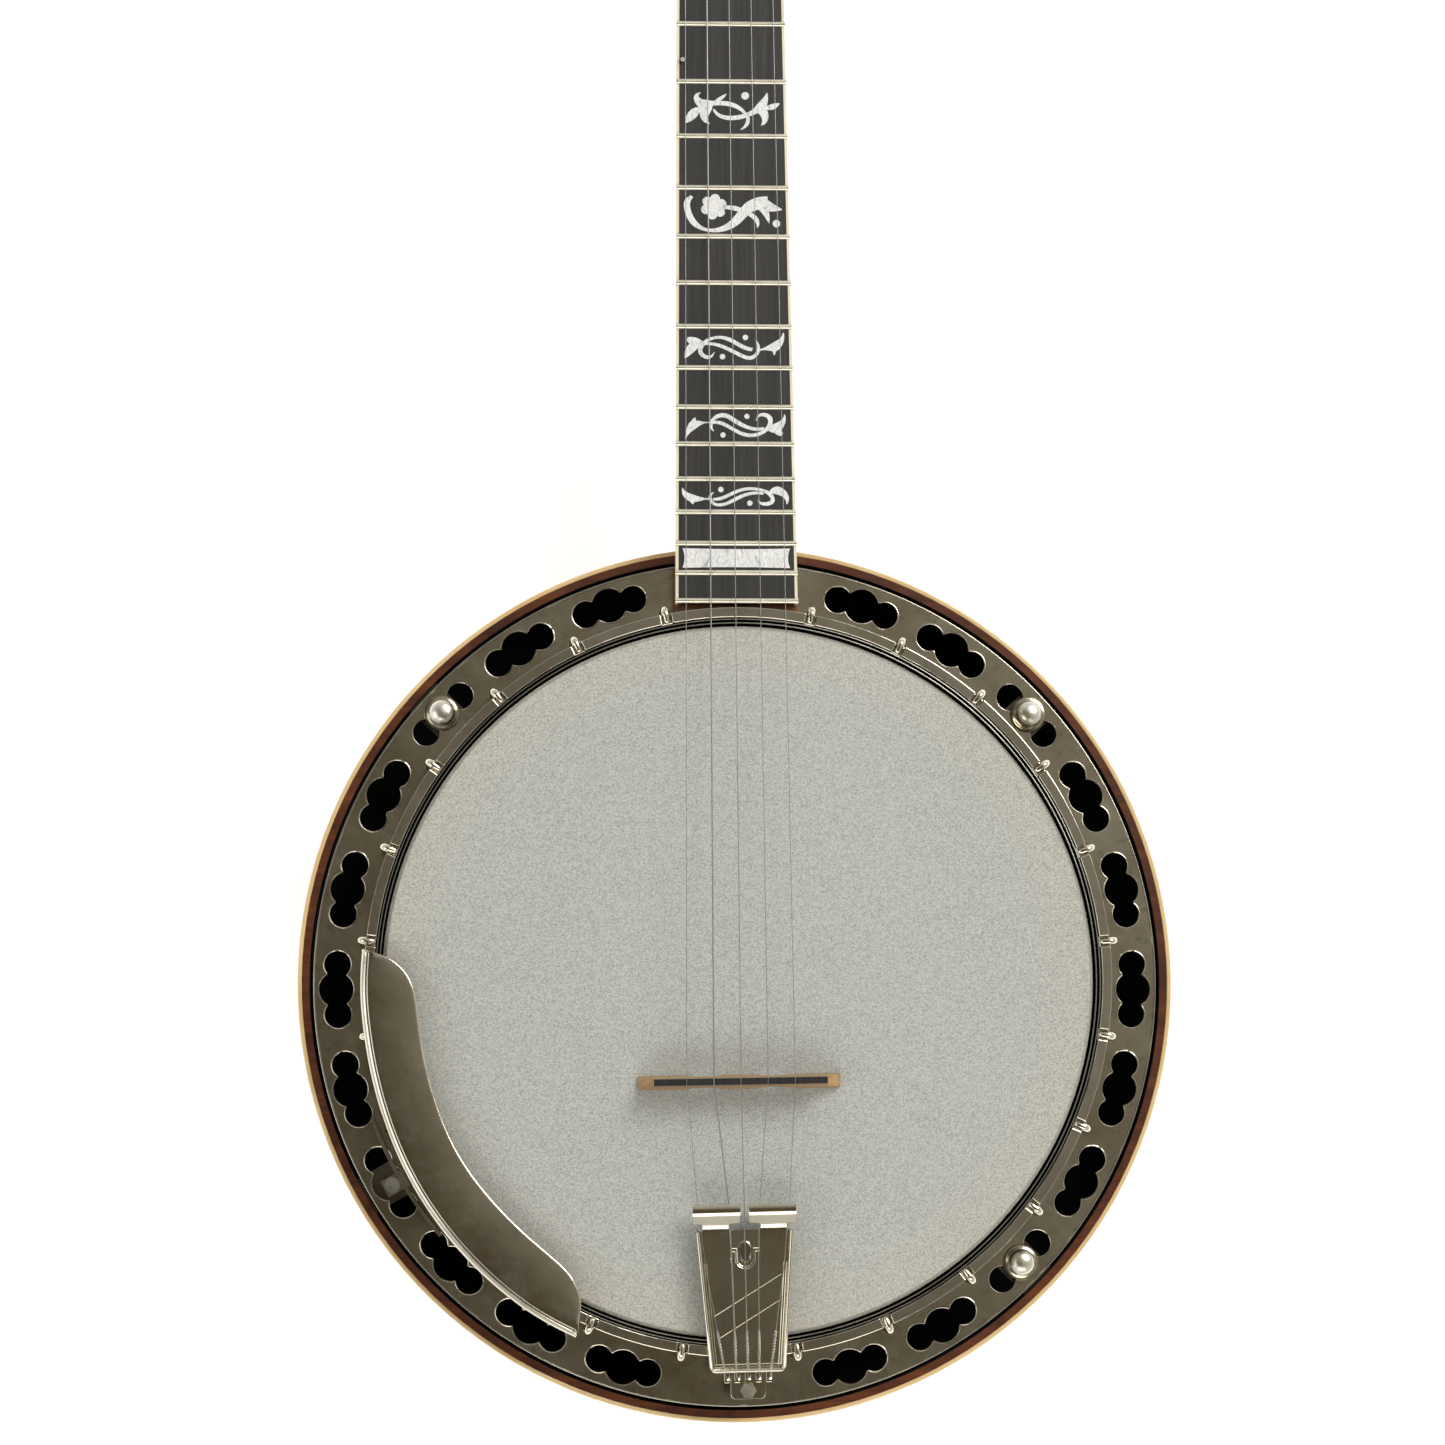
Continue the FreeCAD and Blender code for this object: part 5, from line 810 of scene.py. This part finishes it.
# as (name, place, target, size, power, colour)
LIGHTS = (
    ("key", (1.1, 1.15, 1.7), (0.0, 0.05, 0.06), (1.1, 1.1), 30.0, (1.0, 0.985, 0.96)),
    ("fill", (-1.7, -0.5, 1.5), (0.0, 0.0, 0.06), (1.4, 1.4), 9.0, (0.96, 0.98, 1.0)),
    ("low", (0.0, -1.5, 1.6), (0.0, 0.0, 0.06), (1.6, 0.8), 11.0, (1.0, 0.97, 0.90)))


def area_light(name, place, target, size, energy, colour):
    light = bpy.data.lights.new(name, "AREA")
    light.shape = "RECTANGLE"
    light.size, light.size_y = size
    light.energy = energy
    light.color = colour
    lamp = bpy.data.objects.new(name, light)
    lamp.location = place
    lamp.rotation_euler = (Vector(target) - Vector(place)).to_track_quat("-Z", "Y").to_euler()
    bpy.context.scene.collection.objects.link(lamp)


CEILING_DIM, CEILING_BRIGHT = (0.115, 0.092, 0.056, 1.0), (0.50, 0.475, 0.40, 1.0)
HORIZON = (0.92, 0.91, 0.88, 1.0)
WORLD_STRENGTH = 0.7


def surroundings():
    """A dim ceiling over the object that brightens to the upper right, and a pale horizon."""
    world = bpy.data.worlds.new("studio")
    bpy.context.scene.world = world
    world.use_nodes = True
    nodes, links = world.node_tree.nodes, world.node_tree.links
    where = nodes.new("ShaderNodeTexCoord").outputs["Generated"]
    parts = nodes.new("ShaderNodeSeparateXYZ")
    links.new(where, parts.inputs[0])
    lean = nodes.new("ShaderNodeVectorMath")
    lean.operation = "DOT_PRODUCT"
    lean.inputs[1].default_value = (0.8, 0.6, 0.0)
    links.new(where, lean.inputs[0])
    side = nodes.new("ShaderNodeMapRange")
    for name, amount in (("From Min", -0.05), ("From Max", 0.17), ("To Min", 0.0), ("To Max", 1.0)):
        side.inputs[name].default_value = amount
    links.new(lean.outputs["Value"], side.inputs["Value"])
    ceiling = nodes.new("ShaderNodeValToRGB")
    ceiling.color_ramp.elements[0].color = CEILING_DIM
    ceiling.color_ramp.elements[1].color = CEILING_BRIGHT
    links.new(side.outputs["Result"], ceiling.inputs["Fac"])
    height = nodes.new("ShaderNodeMapRange")
    height.interpolation_type = "SMOOTHSTEP"
    for name, amount in (("From Min", 0.45), ("From Max", 0.93), ("To Min", 0.0), ("To Max", 1.0)):
        height.inputs[name].default_value = amount
    links.new(parts.outputs["Z"], height.inputs["Value"])
    blend = nodes.new("ShaderNodeMix")
    blend.data_type = "RGBA"
    blend.inputs[6].default_value = HORIZON
    links.new(height.outputs["Result"], blend.inputs[0])
    links.new(ceiling.outputs["Color"], blend.inputs[7])
    links.new(blend.outputs[2], nodes["Background"].inputs["Color"])
    nodes["Background"].inputs["Strength"].default_value = WORLD_STRENGTH


CAMERA_PLACE = (-0.10274, -0.06021, 2.15076)
# an axis whose length is the turn in radians
CAMERA_TURN = Vector((0.07799415, -0.04661955, 0.00046695))
SENSOR, LENS = 36.0, 131.42


def camera():
    """Nearly straight above the head, a little to the left, as the object is seen."""
    data = bpy.data.cameras.new("camera")
    data.sensor_width = SENSOR
    data.lens = LENS
    data.clip_end = 50.0
    eye = bpy.data.objects.new("camera", data)
    eye.rotation_mode = "QUATERNION"
    eye.location = CAMERA_PLACE
    turn = Matrix.Rotation(CAMERA_TURN.length, 3, CAMERA_TURN.normalized())
    eye.rotation_quaternion = turn.to_quaternion()
    bpy.context.scene.collection.objects.link(eye)
    bpy.context.scene.camera = eye


bracket_hooks()
armrest()
tailpiece()
string_twists()
flange_edges()
hoop_lip()
thumbscrews()
for label, width in (("tension_hoop", 0.35), ("resonator_binding", 0.5), ("bridge", 0.25)):
    rounded(NODES[label], width)
floor()
surroundings()
for light in LIGHTS:
    area_light(*light)
camera()
bpy.context.scene.view_settings.view_transform = "Standard"
